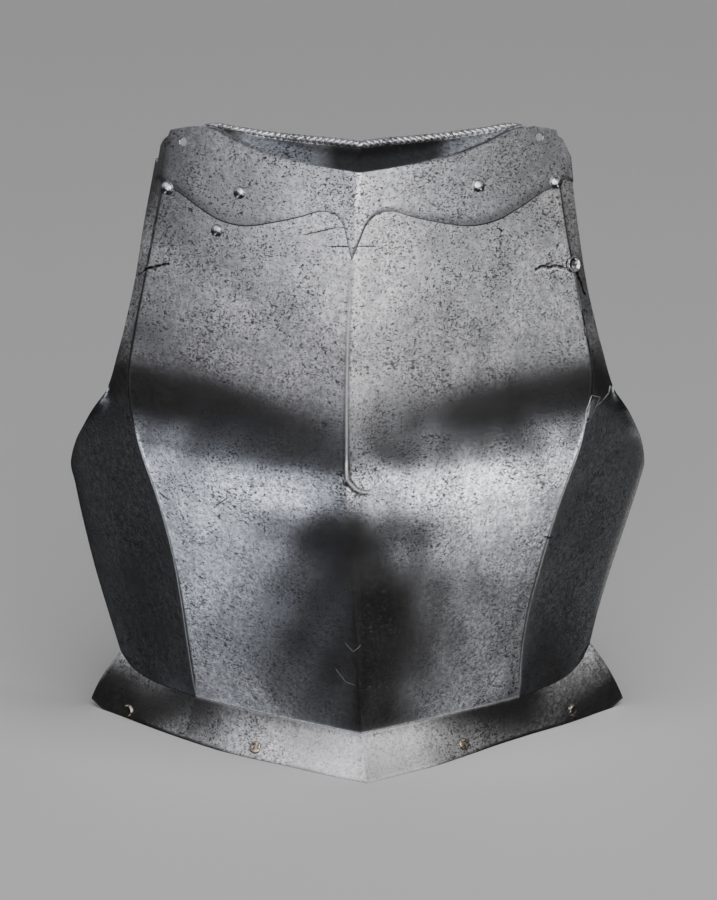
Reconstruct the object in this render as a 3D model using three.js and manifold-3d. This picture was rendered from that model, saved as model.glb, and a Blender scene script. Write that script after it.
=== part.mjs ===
// The breastplate of a steel cuirass, about 1520. The main plate has a middle ridge that swells to a
// peak over the belly, side panels behind a crease, and a flared waist flange. A neck plate with a
// cusped lower edge is riveted over its top, and carries the shoulders and the roped neck rim.
// Millimetres. +Z is up, the chest faces -Y, and +X is the wearer's left. It stands on its waist
// flange, on z = 0.
import * as THREE from "three";
import { mergeVertices } from "three/addons/utils/BufferGeometryUtils.js";
import Module from "manifold-3d";

const wasm = await Module();
wasm.setup();

// ---- Driving dimensions -------------------------------------------------------------------------
const PLATE = 2.0; // thickness of the main plate
const NECK_PLATE = 1.3; // thickness of the neck plate
const FIT = 0.3; // gap between a piece and the plate it lies on
const WAIST_Z = 28; // height of the waist in front and at the side creases
const WAIST_END_RISE = 13; // how much higher it is at its back ends
const LEFT_END_RISE = 6; // how much more that is on the wearer's left
const WAIST_BLEND = 70; // height over which the side panels take up that rise
const LAP_Z = 396; // top of the main plate, hidden under the neck plate
const NECK_PLATE_END_RIGHT = 1.68; // where the neck plate stops on the wearer's right, as an across value
const NECK_END = 0.83; // share of the half width at which the neck flange ends
const NECK_RUN = 19.5; // how far back the neck flange runs at its middle
const NECK_RISE = 12.3; // how far it rises there
const NECK_END_RUN = 2.4; // what is left of the run at its ends
const NECK_END_DROP = 2.4; // how far the rim sinks behind the shoulders there
const NECK_STEADY = 0.6; // share of the neck flange's rise that is even; the rest comes near the rim
const RIM_RADIUS = 2.7; // roped rim of the neck, at its middle
const RIM_END_RADIUS = 1.5;
const RIM_STRANDS = 3; // grooves that wind round the rim
const RIM_PITCH = 12; // length along the rim of one full turn of a groove
const RIM_GROOVE = 0.3; // half the depth of the grooves
const RIM_SIDES = 8;
const RIM_STEPS = 120;
const SHANK = 1.6; // radius of every rivet's shank
const TAIL = 0.9; // thickness of the hammered end of a shank
const LACE_HOLE = 2.5; // radius of the open holes
const BORE_LENGTH = 14; // long enough to cut both plates
const ROUND_SIDES = 14; // sides of a hole
const RIVET_SIDES = 10;

// The middle ridge, which strays to the wearer's right over the belly. ease: share of the front face's
// mean slope that it already has at the ridge, so 1 is a flat face and less is a rounder one.
const KEEL = [
  { z: 0, x: 4, y: -26, ease: 0.86 },
  { z: 28, x: 2.9, y: -36, ease: 0.86 },
  { z: 60, x: 1.7, y: -47.5, ease: 0.84 },
  { z: 100, x: 0.2, y: -61, ease: 0.8 },
  { z: 160, x: -3.4, y: -79, ease: 0.76 },
  { z: 195, x: -6, y: -88, ease: 0.76 },
  { z: 216, x: -6.5, y: -90, ease: 0.76 },
  { z: 240, x: -6.6, y: -88.4, ease: 0.77 },
  { z: 300, x: -5.9, y: -79.5, ease: 0.78 },
  { z: 350, x: -3.3, y: -68, ease: 0.76 },
  { z: 400, x: 1.2, y: -54, ease: 0.72 },
  { z: 430, x: 4, y: -45, ease: 0.7 },
];

// The crease between the front face and a side panel. Above the armpit it is the line that borders
// the arm-opening. sway: how far the pair of them stands to the wearer's left.
const CREASE = [
  { z: 28, x: 105.2, y: 32, sway: 0.3 },
  { z: 60, x: 107.3, y: 19, sway: -1 },
  { z: 98, x: 111.3, y: 5, sway: -0.8 },
  { z: 135, x: 117.6, y: -6, sway: 0.6 },
  { z: 175, x: 126.8, y: -14, sway: 1.4 },
  { z: 220, x: 140.4, y: -19, sway: 1.8 },
  { z: 243, x: 145, y: -20, sway: 1.9 },
  { z: 262, x: 146, y: -19, sway: 2 },
  { z: 292, x: 141.3, y: -14.5, sway: 2 },
  { z: 322, x: 135.3, y: -8.5, sway: 2 },
  { z: 350, x: 129.8, y: -2.5, sway: 2 },
  { z: 380, x: 124.5, y: 4, sway: 2.7 },
  { z: 402, x: 121.5, y: 8.5, sway: 3.5 },
  { z: 430, x: 118, y: 14, sway: 4.5 },
];

// The outer edge of a side panel, opposite each height of the crease: first the back edge, then the
// back corner, then the edge of the arm-opening. swell: how far the panel bulges there.
const SIDE_EDGE = [
  { crease: 28, x: 154.7, y: 83, z: 41, sway: -1.2, swell: 2 },
  { crease: 60, x: 161, y: 85.5, z: 66, sway: -2.4, swell: 3.5 },
  { crease: 98, x: 169.2, y: 87.5, z: 97, sway: -2.6, swell: 5 },
  { crease: 135, x: 177.6, y: 89, z: 128, sway: -1.4, swell: 5.5 },
  { crease: 175, x: 184.2, y: 90, z: 155, sway: 0, swell: 5 },
  { crease: 205, x: 187, y: 88, z: 171, sway: 0.4, swell: 4 },
  { crease: 225, x: 184, y: 70, z: 189, sway: 1, swell: 2.5 },
  { crease: 243, x: 178.3, y: 40, z: 208.5, sway: 1.6, swell: 1.2 },
  { crease: 256, x: 170, y: 12, z: 230, sway: 2, swell: 0.5 },
  { crease: 266, x: 161.5, y: -3, z: 246, sway: 2.2, swell: 0 },
  { crease: 284, x: 152.5, y: -8.5, z: 276, sway: 2.2, swell: 0 },
  { crease: 300, x: 147.6, y: -6.5, z: 295, sway: 2.2, swell: 0 },
  { crease: 325, x: 141.5, y: -1, z: 322, sway: 2.2, swell: 0 },
  { crease: 353, x: 136.8, y: 5, z: 352, sway: 2.2, swell: 0 },
  { crease: 380, x: 132.4, y: 9.6, z: 379, sway: 3, swell: 0 },
  { crease: 402, x: 129.2, y: 13.4, z: 401, sway: 4, swell: 0 },
  { crease: 430, x: 125.5, y: 18.5, z: 428, sway: 5, swell: 0 },
];

// The top of the neck plate. across: 0 at the ridge, 1 at the crease, 2 at the arm-opening.
const TOP_EDGE = [
  { across: 0, z: 402.6 },
  { across: 0.14, z: 403.4 },
  { across: 0.3, z: 404.8 },
  { across: 0.46, z: 407.8 },
  { across: 0.62, z: 412.7 },
  { across: 0.83, z: 419.6 },
  { across: 0.93, z: 416.8 },
  { across: 1, z: 413.8 },
  { across: 1.5, z: 407.5 },
  { across: 2, z: 396.5 },
];

// Its cusped lower edge.
const CUSP = [
  { across: 0, z: 351 },
  { across: 0.028, z: 361.5 },
  { across: 0.05, z: 370 },
  { across: 0.08, z: 375 },
  { across: 0.16, z: 378 },
  { across: 0.28, z: 373 },
  { across: 0.4, z: 368 },
  { across: 0.57, z: 363 },
  { across: 0.7, z: 365.2 },
  { across: 0.8, z: 370.5 },
  { across: 0.93, z: 378 },
  { across: 1, z: 379.6 },
  { across: 2, z: 381 },
];

// The edge of the waist flange. right and left: its y on the wearer's right and left. bow: how far the
// flange is hollowed between waist and edge, or bulges where that is negative.
const FLANGE_TIP_X = 6.5; // where the middle of its edge is
const BOW_LEAN = 0.6; // share of the bow that goes along X, and along Y
const FLANGE_EDGE = [
  { across: 0, x: 0, right: -52, left: -52, z: 0, bow: 1.6 },
  { across: 0.2, x: 24, right: -38, left: -36, z: 0, bow: 1.6 },
  { across: 0.4, x: 47, right: -23, left: -21, z: 0, bow: 1.6 },
  { across: 0.6, x: 70, right: -8.5, left: -1.5, z: 0, bow: 1.5 },
  { across: 0.8, x: 92, right: 7, left: 18, z: 0, bow: 1.3 },
  { across: 1, x: 113, right: 26.5, left: 35, z: 0, bow: 1 },
  { across: 1.5, x: 143.5, right: 56.5, left: 60, z: 0, bow: -1 },
  { across: 1.8, x: 162.5, right: 76, left: 78.5, z: 0.5, bow: -2.2 },
  { across: 2, x: 175, right: 88, left: 90, z: 8, bow: -3 },
];

// ---- Curves through the tables --------------------------------------------------------------------
// A smooth curve through one column of a table, as a function of its key column.
function curve(table, key, column) {
  const at = table.map((row) => row[key]);
  const value = table.map((row) => row[column]);
  const last = at.length - 1;
  const step = (i) => (value[i + 1] - value[i]) / (at[i + 1] - at[i]);
  const slope = at.map((_, i) => {
    if (i === 0) return step(0);
    if (i === last) return step(last - 1);
    const before = at[i] - at[i - 1];
    const after = at[i + 1] - at[i];
    return (step(i - 1) * after + step(i) * before) / (before + after);
  });
  return (x) => {
    let i = 0;
    while (i < last - 1 && x >= at[i + 1]) i++;
    const span = at[i + 1] - at[i];
    const t = (x - at[i]) / span;
    return (
      value[i] * (1 + 2 * t) * (1 - t) ** 2 +
      slope[i] * span * t * (1 - t) ** 2 +
      value[i + 1] * t * t * (3 - 2 * t) +
      slope[i + 1] * span * t * t * (t - 1)
    );
  };
}

const keelX = curve(KEEL, "z", "x");
const keelY = curve(KEEL, "z", "y");
const keelEase = curve(KEEL, "z", "ease");
const creaseX = curve(CREASE, "z", "x");
const creaseY = curve(CREASE, "z", "y");
const creaseSway = curve(CREASE, "z", "sway");
const edgeX = curve(SIDE_EDGE, "crease", "x");
const edgeY = curve(SIDE_EDGE, "crease", "y");
const edgeZ = curve(SIDE_EDGE, "crease", "z");
const edgeSway = curve(SIDE_EDGE, "crease", "sway");
const edgeSwell = curve(SIDE_EDGE, "crease", "swell");
const topZ = curve(TOP_EDGE, "across", "z");
const cuspZ = curve(CUSP, "across", "z");
const flangeX = curve(FLANGE_EDGE, "across", "x");
const flangeRight = curve(FLANGE_EDGE, "across", "right");
const flangeLeft = curve(FLANGE_EDGE, "across", "left");
const flangeZ = curve(FLANGE_EDGE, "across", "z");
const flangeBow = curve(FLANGE_EDGE, "across", "bow");

// ---- The outer surface ------------------------------------------------------------------------------
// across runs from -2 at the wearer's right edge, through -1 and 1 at the creases and 0 at the ridge,
// to 2. z is the height on the front face and at the crease.
function bodyPoint(across, z) {
  const k = Math.abs(across);
  const side = across < 0 ? -1 : 1;
  return k <= 1 ? frontPoint(side, k, z) : sidePoint(side, k - 1, z);
}

function frontPoint(side, k, z) {
  const fall = keelEase(z) * k + (1 - keelEase(z)) * k * k;
  const x = k * (side * creaseX(z) + creaseSway(z)) + (1 - k) * keelX(z);
  return new THREE.Vector3(x, keelY(z) + (creaseY(z) - keelY(z)) * fall, z);
}

function sidePoint(side, r, z) {
  const runX = edgeX(z) - creaseX(z);
  const runY = edgeY(z) - creaseY(z);
  const bulge = (27 / 4) * r * r * (1 - r); // 0 at both edges, 1 at two thirds of the way back
  const swell = (edgeSwell(z) * bulge) / Math.hypot(runX, runY);
  const x = side * (creaseX(z) + runX * r + swell * runY);
  const low = Math.max(0, 1 - (z - WAIST_Z) / WAIST_BLEND) ** 2;
  const extra = side > 0 ? LEFT_END_RISE : 0;
  return new THREE.Vector3(
    x + creaseSway(z) + (edgeSway(z) - creaseSway(z)) * r,
    creaseY(z) + runY * r - swell * runX,
    z + (edgeZ(z) - z) * r + low * (WAIST_END_RISE * (r ** 4 - r) + extra * r ** 4),
  );
}

// A point of the waist flange. down: 0 at the waist, 1 at its edge.
function flangePoint(across, down) {
  const k = Math.abs(across);
  const side = across < 0 ? -1 : 1;
  const x = side * flangeX(k) + FLANGE_TIP_X * Math.max(0, 1 - k);
  const y = across < 0 ? flangeRight(k) : flangeLeft(k);
  const bow = flangeBow(k) * 4 * down * (1 - down);
  const inward = new THREE.Vector3(-side * Math.min(k, 1), 1, 0).multiplyScalar(BOW_LEAN * bow);
  return bodyPoint(across, WAIST_Z).lerp(new THREE.Vector3(x, y, flangeZ(k)), down).add(inward);
}

// A point of the neck flange. back: 0 at the neckline, 1 at the rim.
function neckPoint(across, back) {
  const left = 1 - (across / NECK_END) ** 2;
  const p = bodyPoint(across, topZ(Math.abs(across)));
  p.y += back * (NECK_END_RUN + (NECK_RUN - NECK_END_RUN) * left);
  const rise = NECK_RISE * left - NECK_END_DROP * (1 - left);
  p.z += rise * (NECK_STEADY * back + (1 - NECK_STEADY) * back ** 2);
  return p;
}

// ---- Sheets and solids --------------------------------------------------------------------------------
const MITRE_LIMIT = 0.6; // a corner's offset is lengthened by no more than 1 / this

// A sheet is a list of points and of triangles that face outwards.
class Sheet {
  points = [];
  faces = [];
  index = new Map();

  add(p) {
    const key = [p.x, p.y, p.z].map((v) => v.toFixed(3)).join();
    if (!this.index.has(key)) {
      this.index.set(key, this.points.length);
      this.points.push(p);
    }
    return this.index.get(key);
  }

  // rows[j][i] is a point: i runs towards +X in front, and j runs up.
  grid(rows) {
    const ids = rows.map((row) => row.map((p) => this.add(p)));
    for (let j = 0; j + 1 < ids.length; j++) {
      for (let i = 0; i + 1 < ids[j].length; i++) {
        const [a, b, c, d] = [ids[j][i], ids[j][i + 1], ids[j + 1][i + 1], ids[j + 1][i]];
        this.faces.push([a, b, c], [a, c, d]);
      }
    }
    return this;
  }

  // For each point, the shift that moves the faces round it out by 1 mm.
  shifts() {
    const around = this.points.map(() => []);
    for (const face of this.faces) {
      const [a, b, c] = face.map((i) => this.points[i]);
      const n = b.clone().sub(a).cross(c.clone().sub(a));
      const area = n.length();
      n.normalize();
      face.forEach((i) => around[i].push({ n, area }));
    }
    return around.map((list) => {
      const mean = new THREE.Vector3();
      list.forEach(({ n, area }) => mean.addScaledVector(n, area));
      mean.normalize();
      const total = list.reduce((sum, { area }) => sum + area, 0);
      const lean = list.reduce((sum, { n, area }) => sum + n.dot(mean) * area, 0) / total;
      return mean.multiplyScalar(1 / Math.max(lean, MITRE_LIMIT));
    });
  }

  // The closed solid between the sheet moved out by outer and by inner millimetres.
  solid(outer, inner) {
    const shift = this.shifts();
    const count = this.points.length;
    const moved = [outer, inner].flatMap((by) =>
      this.points.map((p, i) => p.clone().addScaledVector(shift[i], by)),
    );
    const faces = this.faces.flatMap(([a, b, c]) => [
      [a, b, c],
      [a + count, c + count, b + count],
    ]);
    const edges = new Set(this.faces.flatMap(([a, b, c]) => [`${a},${b}`, `${b},${c}`, `${c},${a}`]));
    for (const edge of edges) {
      const [a, b] = edge.split(",").map(Number);
      if (edges.has(`${b},${a}`)) continue;
      faces.push([b, a, a + count], [b, a + count, b + count]);
    }
    return manifold(moved, faces);
  }
}

function manifold(points, faces) {
  return new wasm.Manifold(
    new wasm.Mesh({
      numProp: 3,
      vertProperties: new Float32Array(points.flatMap((p) => [p.x, p.y, p.z])),
      triVerts: new Uint32Array(faces.flat()),
    }),
  );
}

function solidOf(geometry) {
  const bare = geometry.clone();
  bare.deleteAttribute("normal");
  bare.deleteAttribute("uv");
  const merged = mergeVertices(bare, 1e-4);
  return new wasm.Manifold(
    new wasm.Mesh({
      numProp: 3,
      vertProperties: new Float32Array(merged.attributes.position.array),
      triVerts: new Uint32Array(merged.index.array),
    }),
  );
}

function geometryOf(solid) {
  const mesh = solid.getMesh();
  const geometry = new THREE.BufferGeometry();
  geometry.setAttribute("position", new THREE.BufferAttribute(new Float32Array(mesh.vertProperties), 3));
  geometry.setIndex(new THREE.BufferAttribute(new Uint32Array(mesh.triVerts), 1));
  geometry.computeVertexNormals();
  return geometry;
}

const range = (count) => Array.from({ length: count + 1 }, (_, i) => i / count);
const bothSides = (shares) => [...shares.map((s) => -s).reverse(), 0, ...shares];

// ---- Rivets and holes -----------------------------------------------------------------------------------
// Where the front face has that x and height.
function frontSpot(x, z) {
  const side = x < keelX(z) ? -1 : 1;
  const k = (x - keelX(z)) / (side * creaseX(z) + creaseSway(z) - keelX(z));
  return spot(bodyPoint, side * k, z, 1);
}

const flangeSpot = (across, down) => spot(flangePoint, across, down, -1);

// On the crease itself, facing halfway between the two faces that meet there.
function creaseSpot(side, z) {
  const front = spot(bodyPoint, side * 0.97, z, 1).out;
  const back = spot(bodyPoint, side * 1.4, z, 1).out;
  return { p: bodyPoint(side, z), out: front.add(back).normalize() };
}

// A point of a surface and the way out of it. turn is -1 where the second value runs down.
function spot(surface, a, b, turn) {
  const step = 1e-3;
  const alongA = surface(a + step, b).sub(surface(a - step, b));
  const alongB = surface(a, b + step).sub(surface(a, b - step));
  return { p: surface(a, b), out: alongA.cross(alongB).multiplyScalar(turn).normalize() };
}

// Moves a shape made along +Z to a spot, with its z = 0 on the surface.
function place(geometry, { p, out }) {
  const turn = new THREE.Quaternion().setFromUnitVectors(new THREE.Vector3(0, 0, 1), out);
  return geometry.applyQuaternion(turn).translate(p.x, p.y, p.z);
}

function bore(radius, where) {
  const pin = new THREE.CylinderGeometry(radius, radius, BORE_LENGTH, ROUND_SIDES);
  return solidOf(place(pin.rotateX(Math.PI / 2), where));
}

// A rivet: a head over the plates, a shank through them, and the hammered end inside.
function rivetGeometry({ radius, rise, over, under, domed }) {
  const base = over + FIT;
  const inside = -PLATE - FIT - under;
  const dome = range(4).map((s) => {
    const angle = (s * Math.PI) / 2;
    return new THREE.Vector2(radius * Math.cos(angle), base + rise * Math.sin(angle));
  });
  dome[dome.length - 1].x = 0;
  const flat = [
    new THREE.Vector2(radius, base),
    new THREE.Vector2(radius * 0.97, base + rise * 0.7),
    new THREE.Vector2(radius * 0.85, base + rise),
    new THREE.Vector2(0, base + rise),
  ];
  const profile = [
    new THREE.Vector2(0, inside - TAIL),
    new THREE.Vector2(SHANK * 1.5, inside - TAIL * 0.8),
    new THREE.Vector2(SHANK * 1.8, inside),
    new THREE.Vector2(SHANK, inside),
    new THREE.Vector2(SHANK, base),
    ...(domed ? dome : flat),
  ];
  return new THREE.LatheGeometry(profile, RIVET_SIDES).rotateX(Math.PI / 2);
}

// over: thickness of what lies between the main plate and the head. under: further room inside.
const DOME = { radius: 4.1, rise: 2.6, over: FIT + NECK_PLATE, under: 0, domed: true };
const FLAT = { radius: 3.8, rise: 0.9, over: 0.25, under: 0, domed: false };
const PLUG = { radius: 5.4, rise: 1.1, over: 0.2, under: 0.7, domed: false };
const RIVETS = [
  { name: "corner_rivet_right", at: frontSpot(-118.5, 378.5), ...DOME, radius: 4.4 },
  { name: "corner_rivet_left", at: frontSpot(124, 382), ...DOME, radius: 4.4 },
  { name: "neck_rivet_right", at: frontSpot(-72.5, 383), ...DOME },
  { name: "neck_rivet_left", at: frontSpot(75, 387), ...DOME },
  { name: "chest_rivet", at: frontSpot(-87, 358.5), ...DOME, over: 0 },
  { name: "crack_plug", at: creaseSpot(1, 331), ...PLUG },
  { name: "flange_rivet_right_back", at: flangeSpot(-1.64, 0.8), ...FLAT },
  { name: "flange_rivet_right_front", at: flangeSpot(-0.6, 0.76), ...FLAT },
  { name: "flange_rivet_left_front", at: flangeSpot(0.59, 0.74), ...FLAT },
  { name: "flange_rivet_left_back", at: flangeSpot(1.52, 0.74), ...FLAT },
];
const CHEST_HOLE = frontSpot(88, 357);
const SHOULDER_HOLES = [frontSpot(-108, 408), frontSpot(113.5, 411)];

// ---- The main plate -------------------------------------------------------------------------------------
const FRONT_SHARES = [0.08, 0.18, 0.29, 0.4, 0.51, 0.62, 0.73, 0.83, 0.92, 1];
const SIDE_SHARES = [1.2, 1.4, 1.6, 1.8, 2];
const BODY_HEIGHTS = [
  28, 42, 56, 71, 87, 103, 120, 137, 153, 168, 182, 194, 204, 213, 222, 231, 240, 248, 256, 264, 274,
  286, 301, 318, 336, 356, 376, LAP_Z,
];
const FLANGE_ROWS = [1.09, 0.8, 0.53, 0.26]; // made past the edge, then cut flat on z = 0

function breastPlate() {
  const columns = bothSides([...FRONT_SHARES, ...SIDE_SHARES]);
  const flange = FLANGE_ROWS.map((down) => columns.map((across) => flangePoint(across, down)));
  const body = BODY_HEIGHTS.map((z) => columns.map((across) => bodyPoint(across, z)));
  const below = solidOf(new THREE.BoxGeometry(500, 500, 50).translate(0, 0, -25)); // all under z = 0
  let plate = new Sheet().grid([...flange, ...body]).solid(0, -PLATE).subtract(below);
  for (const { at } of RIVETS) plate = plate.subtract(bore(SHANK + FIT, at));
  return plate.subtract(bore(LACE_HOLE, CHEST_HOLE));
}

// ---- The neck plate -------------------------------------------------------------------------------------
const NECK_SHARES = [0.028, 0.05, 0.08, 0.16, 0.24, 0.33, 0.42, 0.52, 0.62, 0.7, 0.77, NECK_END, 0.9, 1];
const NECK_ROWS = 6;
const NECK_FLANGE_ROWS = 3;

function neckPlate() {
  const columns = [-NECK_PLATE_END_RIGHT, -1.35, ...bothSides(NECK_SHARES), 1.5, 2];
  const rows = range(NECK_ROWS).map((up) =>
    columns.map((across) => {
      const k = Math.abs(across);
      return bodyPoint(across, cuspZ(k) + up * (topZ(k) - cuspZ(k)));
    }),
  );
  const inner = columns.filter((across) => Math.abs(across) <= NECK_END);
  const flange = range(NECK_FLANGE_ROWS).map((back) => inner.map((across) => neckPoint(across, back)));
  let plate = new Sheet().grid(rows).grid(flange).solid(FIT + NECK_PLATE, FIT).add(rim());
  for (const { at } of RIVETS.slice(0, 4)) plate = plate.subtract(bore(SHANK + FIT, at));
  for (const at of SHOULDER_HOLES) plate = plate.subtract(bore(LACE_HOLE, at));
  return plate;
}

// The roped rim. Its grooves wind away from the middle on both sides.
function rim() {
  const knots = range(48).map((s) => neckPoint((2 * s - 1) * NECK_END, 1));
  const path = new THREE.CatmullRomCurve3(knots);
  const length = path.getLength();
  const points = [];
  for (const s of range(RIM_STEPS)) {
    const ahead = path.getTangentAt(s);
    const up = new THREE.Vector3(0, 0, 1).addScaledVector(ahead, -ahead.z).normalize();
    const out = ahead.clone().cross(up);
    const fromMiddle = Math.abs(s - 0.5) * length;
    const radius = RIM_RADIUS + (RIM_END_RADIUS - RIM_RADIUS) * (2 * s - 1) ** 4;
    for (let k = 0; k < RIM_SIDES; k++) {
      const angle = (2 * Math.PI * k) / RIM_SIDES;
      const wound = angle + (2 * Math.PI * fromMiddle) / RIM_PITCH;
      const r = radius - RIM_GROOVE * (1 + Math.cos(RIM_STRANDS * wound));
      const p = path.getPointAt(s);
      points.push(p.addScaledVector(up, r * Math.cos(angle)).addScaledVector(out, r * Math.sin(angle)));
    }
  }
  const faces = [];
  for (let i = 0; i < RIM_STEPS; i++) {
    for (let k = 0; k < RIM_SIDES; k++) {
      const a = i * RIM_SIDES + k;
      const b = i * RIM_SIDES + ((k + 1) % RIM_SIDES);
      faces.push([a, b, b + RIM_SIDES], [a, b + RIM_SIDES, a + RIM_SIDES]);
    }
  }
  const last = RIM_STEPS * RIM_SIDES;
  for (let k = 1; k + 1 < RIM_SIDES; k++) {
    faces.push([0, k + 1, k], [last, last + k, last + k + 1]);
  }
  return manifold(points, faces);
}

// ---- The object ---------------------------------------------------------------------------------------------
const group = new THREE.Group();

function addPiece(name, geometry, color, roughness) {
  const material = new THREE.MeshStandardMaterial({ color, roughness, metalness: 1 });
  const mesh = new THREE.Mesh(geometry, material);
  mesh.name = name;
  group.add(mesh);
}

addPiece("breast_plate", geometryOf(breastPlate()), "#8d8f93", 0.38);
addPiece("neck_plate", geometryOf(neckPlate()), "#85878c", 0.4);
for (const rivet of RIVETS) {
  const color = rivet.name.startsWith("flange") ? "#8c867a" : "#9a9ca0";
  addPiece(rivet.name, place(rivetGeometry(rivet), rivet.at), color, 0.35);
}

// The origin is on the surface it stands on, under the middle of the whole thing's box.
const box = new THREE.Box3().setFromObject(group);
for (const mesh of group.children) {
  mesh.geometry.translate(-(box.min.x + box.max.x) / 2, -(box.min.y + box.max.y) / 2, -box.min.z);
}

export default group;
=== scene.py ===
import math

import bmesh
import bpy
import numpy as np
from bpy.props import FloatProperty, FloatVectorProperty, IntProperty, PointerProperty
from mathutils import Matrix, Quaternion, Vector


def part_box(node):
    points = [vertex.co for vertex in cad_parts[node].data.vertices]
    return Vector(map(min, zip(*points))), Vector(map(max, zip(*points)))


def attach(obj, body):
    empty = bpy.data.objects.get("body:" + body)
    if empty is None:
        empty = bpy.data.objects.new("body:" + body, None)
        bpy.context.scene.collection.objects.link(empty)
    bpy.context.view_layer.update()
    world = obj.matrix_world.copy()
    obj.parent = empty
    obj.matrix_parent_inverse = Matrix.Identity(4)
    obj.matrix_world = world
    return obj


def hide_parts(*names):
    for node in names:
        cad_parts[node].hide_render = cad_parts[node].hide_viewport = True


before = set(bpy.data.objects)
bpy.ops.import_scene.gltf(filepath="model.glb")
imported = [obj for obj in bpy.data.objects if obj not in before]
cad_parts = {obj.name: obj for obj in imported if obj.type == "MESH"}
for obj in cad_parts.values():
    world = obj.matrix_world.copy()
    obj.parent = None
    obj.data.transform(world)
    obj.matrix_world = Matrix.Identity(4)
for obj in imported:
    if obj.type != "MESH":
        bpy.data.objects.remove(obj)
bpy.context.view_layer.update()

bl_info = {
    "name": "Cuirass Breastplate",
    "version": (1, 0, 0),
    "blender": (4, 5, 0),
    "location": "3D View > Sidebar > Cuirass",
    "description": "Builds the plates, roped edge, rivets and stage of a steel breastplate",
    "category": "Object",
}

MM = 0.001
BODY = "root"  # nothing moves, so every piece rides on the one body
SEED = 7

# ---- The surface ---------------------------------------------------------------------------------
# Lengths in millimetres. Heights are z, and across runs from the ridge (0) over the creases (1 either way)
# to the side edges (2). Right and left are the wearer's.
PLATE = 2.0  # thickness of the main plate
WAIST_Z = 28.0
WAIST_END_RISE = 13.0  # how far the waist line rises towards the back
LEFT_END_RISE = 6.0  # and how much further on the left
WAIST_BLEND = 70.0  # the rise has faded out this far above the waist
LAP_Z = 396.0  # top of the main plate, under the neck plate
NECK_PLATE_END_RIGHT = 1.68
NECK_END = 0.83  # across value at which the neck flange ends
NECK_RUN = 19.5  # how far back the neck flange reaches at its middle, and at its ends
NECK_END_RUN = 2.4
NECK_RISE = 12.3  # how far it rises at its middle, and sinks at its ends
NECK_END_DROP = 2.4
NECK_STEADY = 0.6  # share of the rise that is even; the rest comes near the rim
FLANGE_TIP_X = 6.5  # how far the waist flange's foot stands to the left of the middle
FLANGE_REACH = 1.09  # how far down the flange may run where its edge stands clear of the ground
BOW_LEAN = 0.6  # share of the flange's bow that goes inwards, and back

# The ridge down the middle. ease: how straight the front falls away from it.
RIDGE = {
    "z": [0, 28, 60, 100, 160, 195, 216, 240, 300, 350, 400, 430],
    "x": [4, 2.9, 1.7, 0.2, -3.4, -6, -6.5, -6.6, -5.9, -3.3, 1.2, 4],
    "y": [-26, -36, -47.5, -61, -79, -88, -90, -88.4, -79.5, -68, -54, -45],
    "ease": [0.86, 0.86, 0.84, 0.8, 0.76, 0.76, 0.76, 0.77, 0.78, 0.76, 0.72, 0.7],
}
# The creases between the front and the side panels. sway: how far both lie to the left.
CREASE = {
    "z": [28, 60, 98, 135, 175, 220, 243, 262, 292, 322, 350, 380, 402, 430],
    "x": [105.2, 107.3, 111.3, 117.6, 126.8, 140.4, 145, 146, 141.3, 135.3, 129.8, 124.5, 121.5, 118],
    "y": [32, 19, 5, -6, -14, -19, -20, -19, -14.5, -8.5, -2.5, 4, 8.5, 14],
    "sway": [0.3, -1, -0.8, 0.6, 1.4, 1.8, 1.9, 2, 2, 2, 2, 2.7, 3.5, 4.5],
}
# The edges of the side panels and arm-openings, by the height of the crease beside them. swell: how far
# the panel bulges out.
SIDE_EDGE = {
    "crease": [28, 60, 98, 135, 175, 205, 225, 243, 256, 266, 284, 300, 325, 353, 380, 402, 430],
    "x": [154.7, 161, 169.2, 177.6, 184.2, 187, 184, 178.3, 170, 161.5, 152.5, 147.6, 141.5, 136.8,
          132.4, 129.2, 125.5],
    "y": [83, 85.5, 87.5, 89, 90, 88, 70, 40, 12, -3, -8.5, -6.5, -1, 5, 9.6, 13.4, 18.5],
    "z": [41, 66, 97, 128, 155, 171, 189, 208.5, 230, 246, 276, 295, 322, 352, 379, 401, 428],
    "sway": [-1.2, -2.4, -2.6, -1.4, 0, 0.4, 1, 1.6, 2, 2.2, 2.2, 2.2, 2.2, 2.2, 3, 4, 5],
    "swell": [2, 3.5, 5, 5.5, 5, 4, 2.5, 1.2, 0.5, 0, 0, 0, 0, 0, 0, 0, 0],
}
# The neckline and shoulders, then the cusped lower edge of the neck plate.
TOP_EDGE = {
    "across": [0, 0.14, 0.3, 0.46, 0.62, 0.83, 0.93, 1, 1.5, 2],
    "z": [402.6, 403.4, 404.8, 407.8, 412.7, 419.6, 416.8, 413.8, 407.5, 396.5],
}
CUSP = {
    "across": [0, 0.028, 0.05, 0.08, 0.16, 0.28, 0.4, 0.57, 0.7, 0.8, 0.93, 1, 2],
    "z": [351, 361.5, 370, 375, 378, 373, 368, 363, 365.2, 370.5, 378, 379.6, 381],
}
# The waist flange's edge. right and left: its y on each side. bow: how far the flange bulges.
FLANGE_EDGE = {
    "across": [0, 0.2, 0.4, 0.6, 0.8, 1, 1.5, 1.8, 2],
    "x": [0, 24, 47, 70, 92, 113, 143.5, 162.5, 175],
    "right": [-52, -38, -23, -8.5, 7, 26.5, 56.5, 76, 88],
    "left": [-52, -36, -21, -1.5, 18, 35, 60, 78.5, 90],
    "z": [0, 0, 0, 0, 0, 0, 0, 0.5, 8],
    "bow": [1.6, 1.6, 1.6, 1.5, 1.3, 1, -1, -2.2, -3],
}


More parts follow.
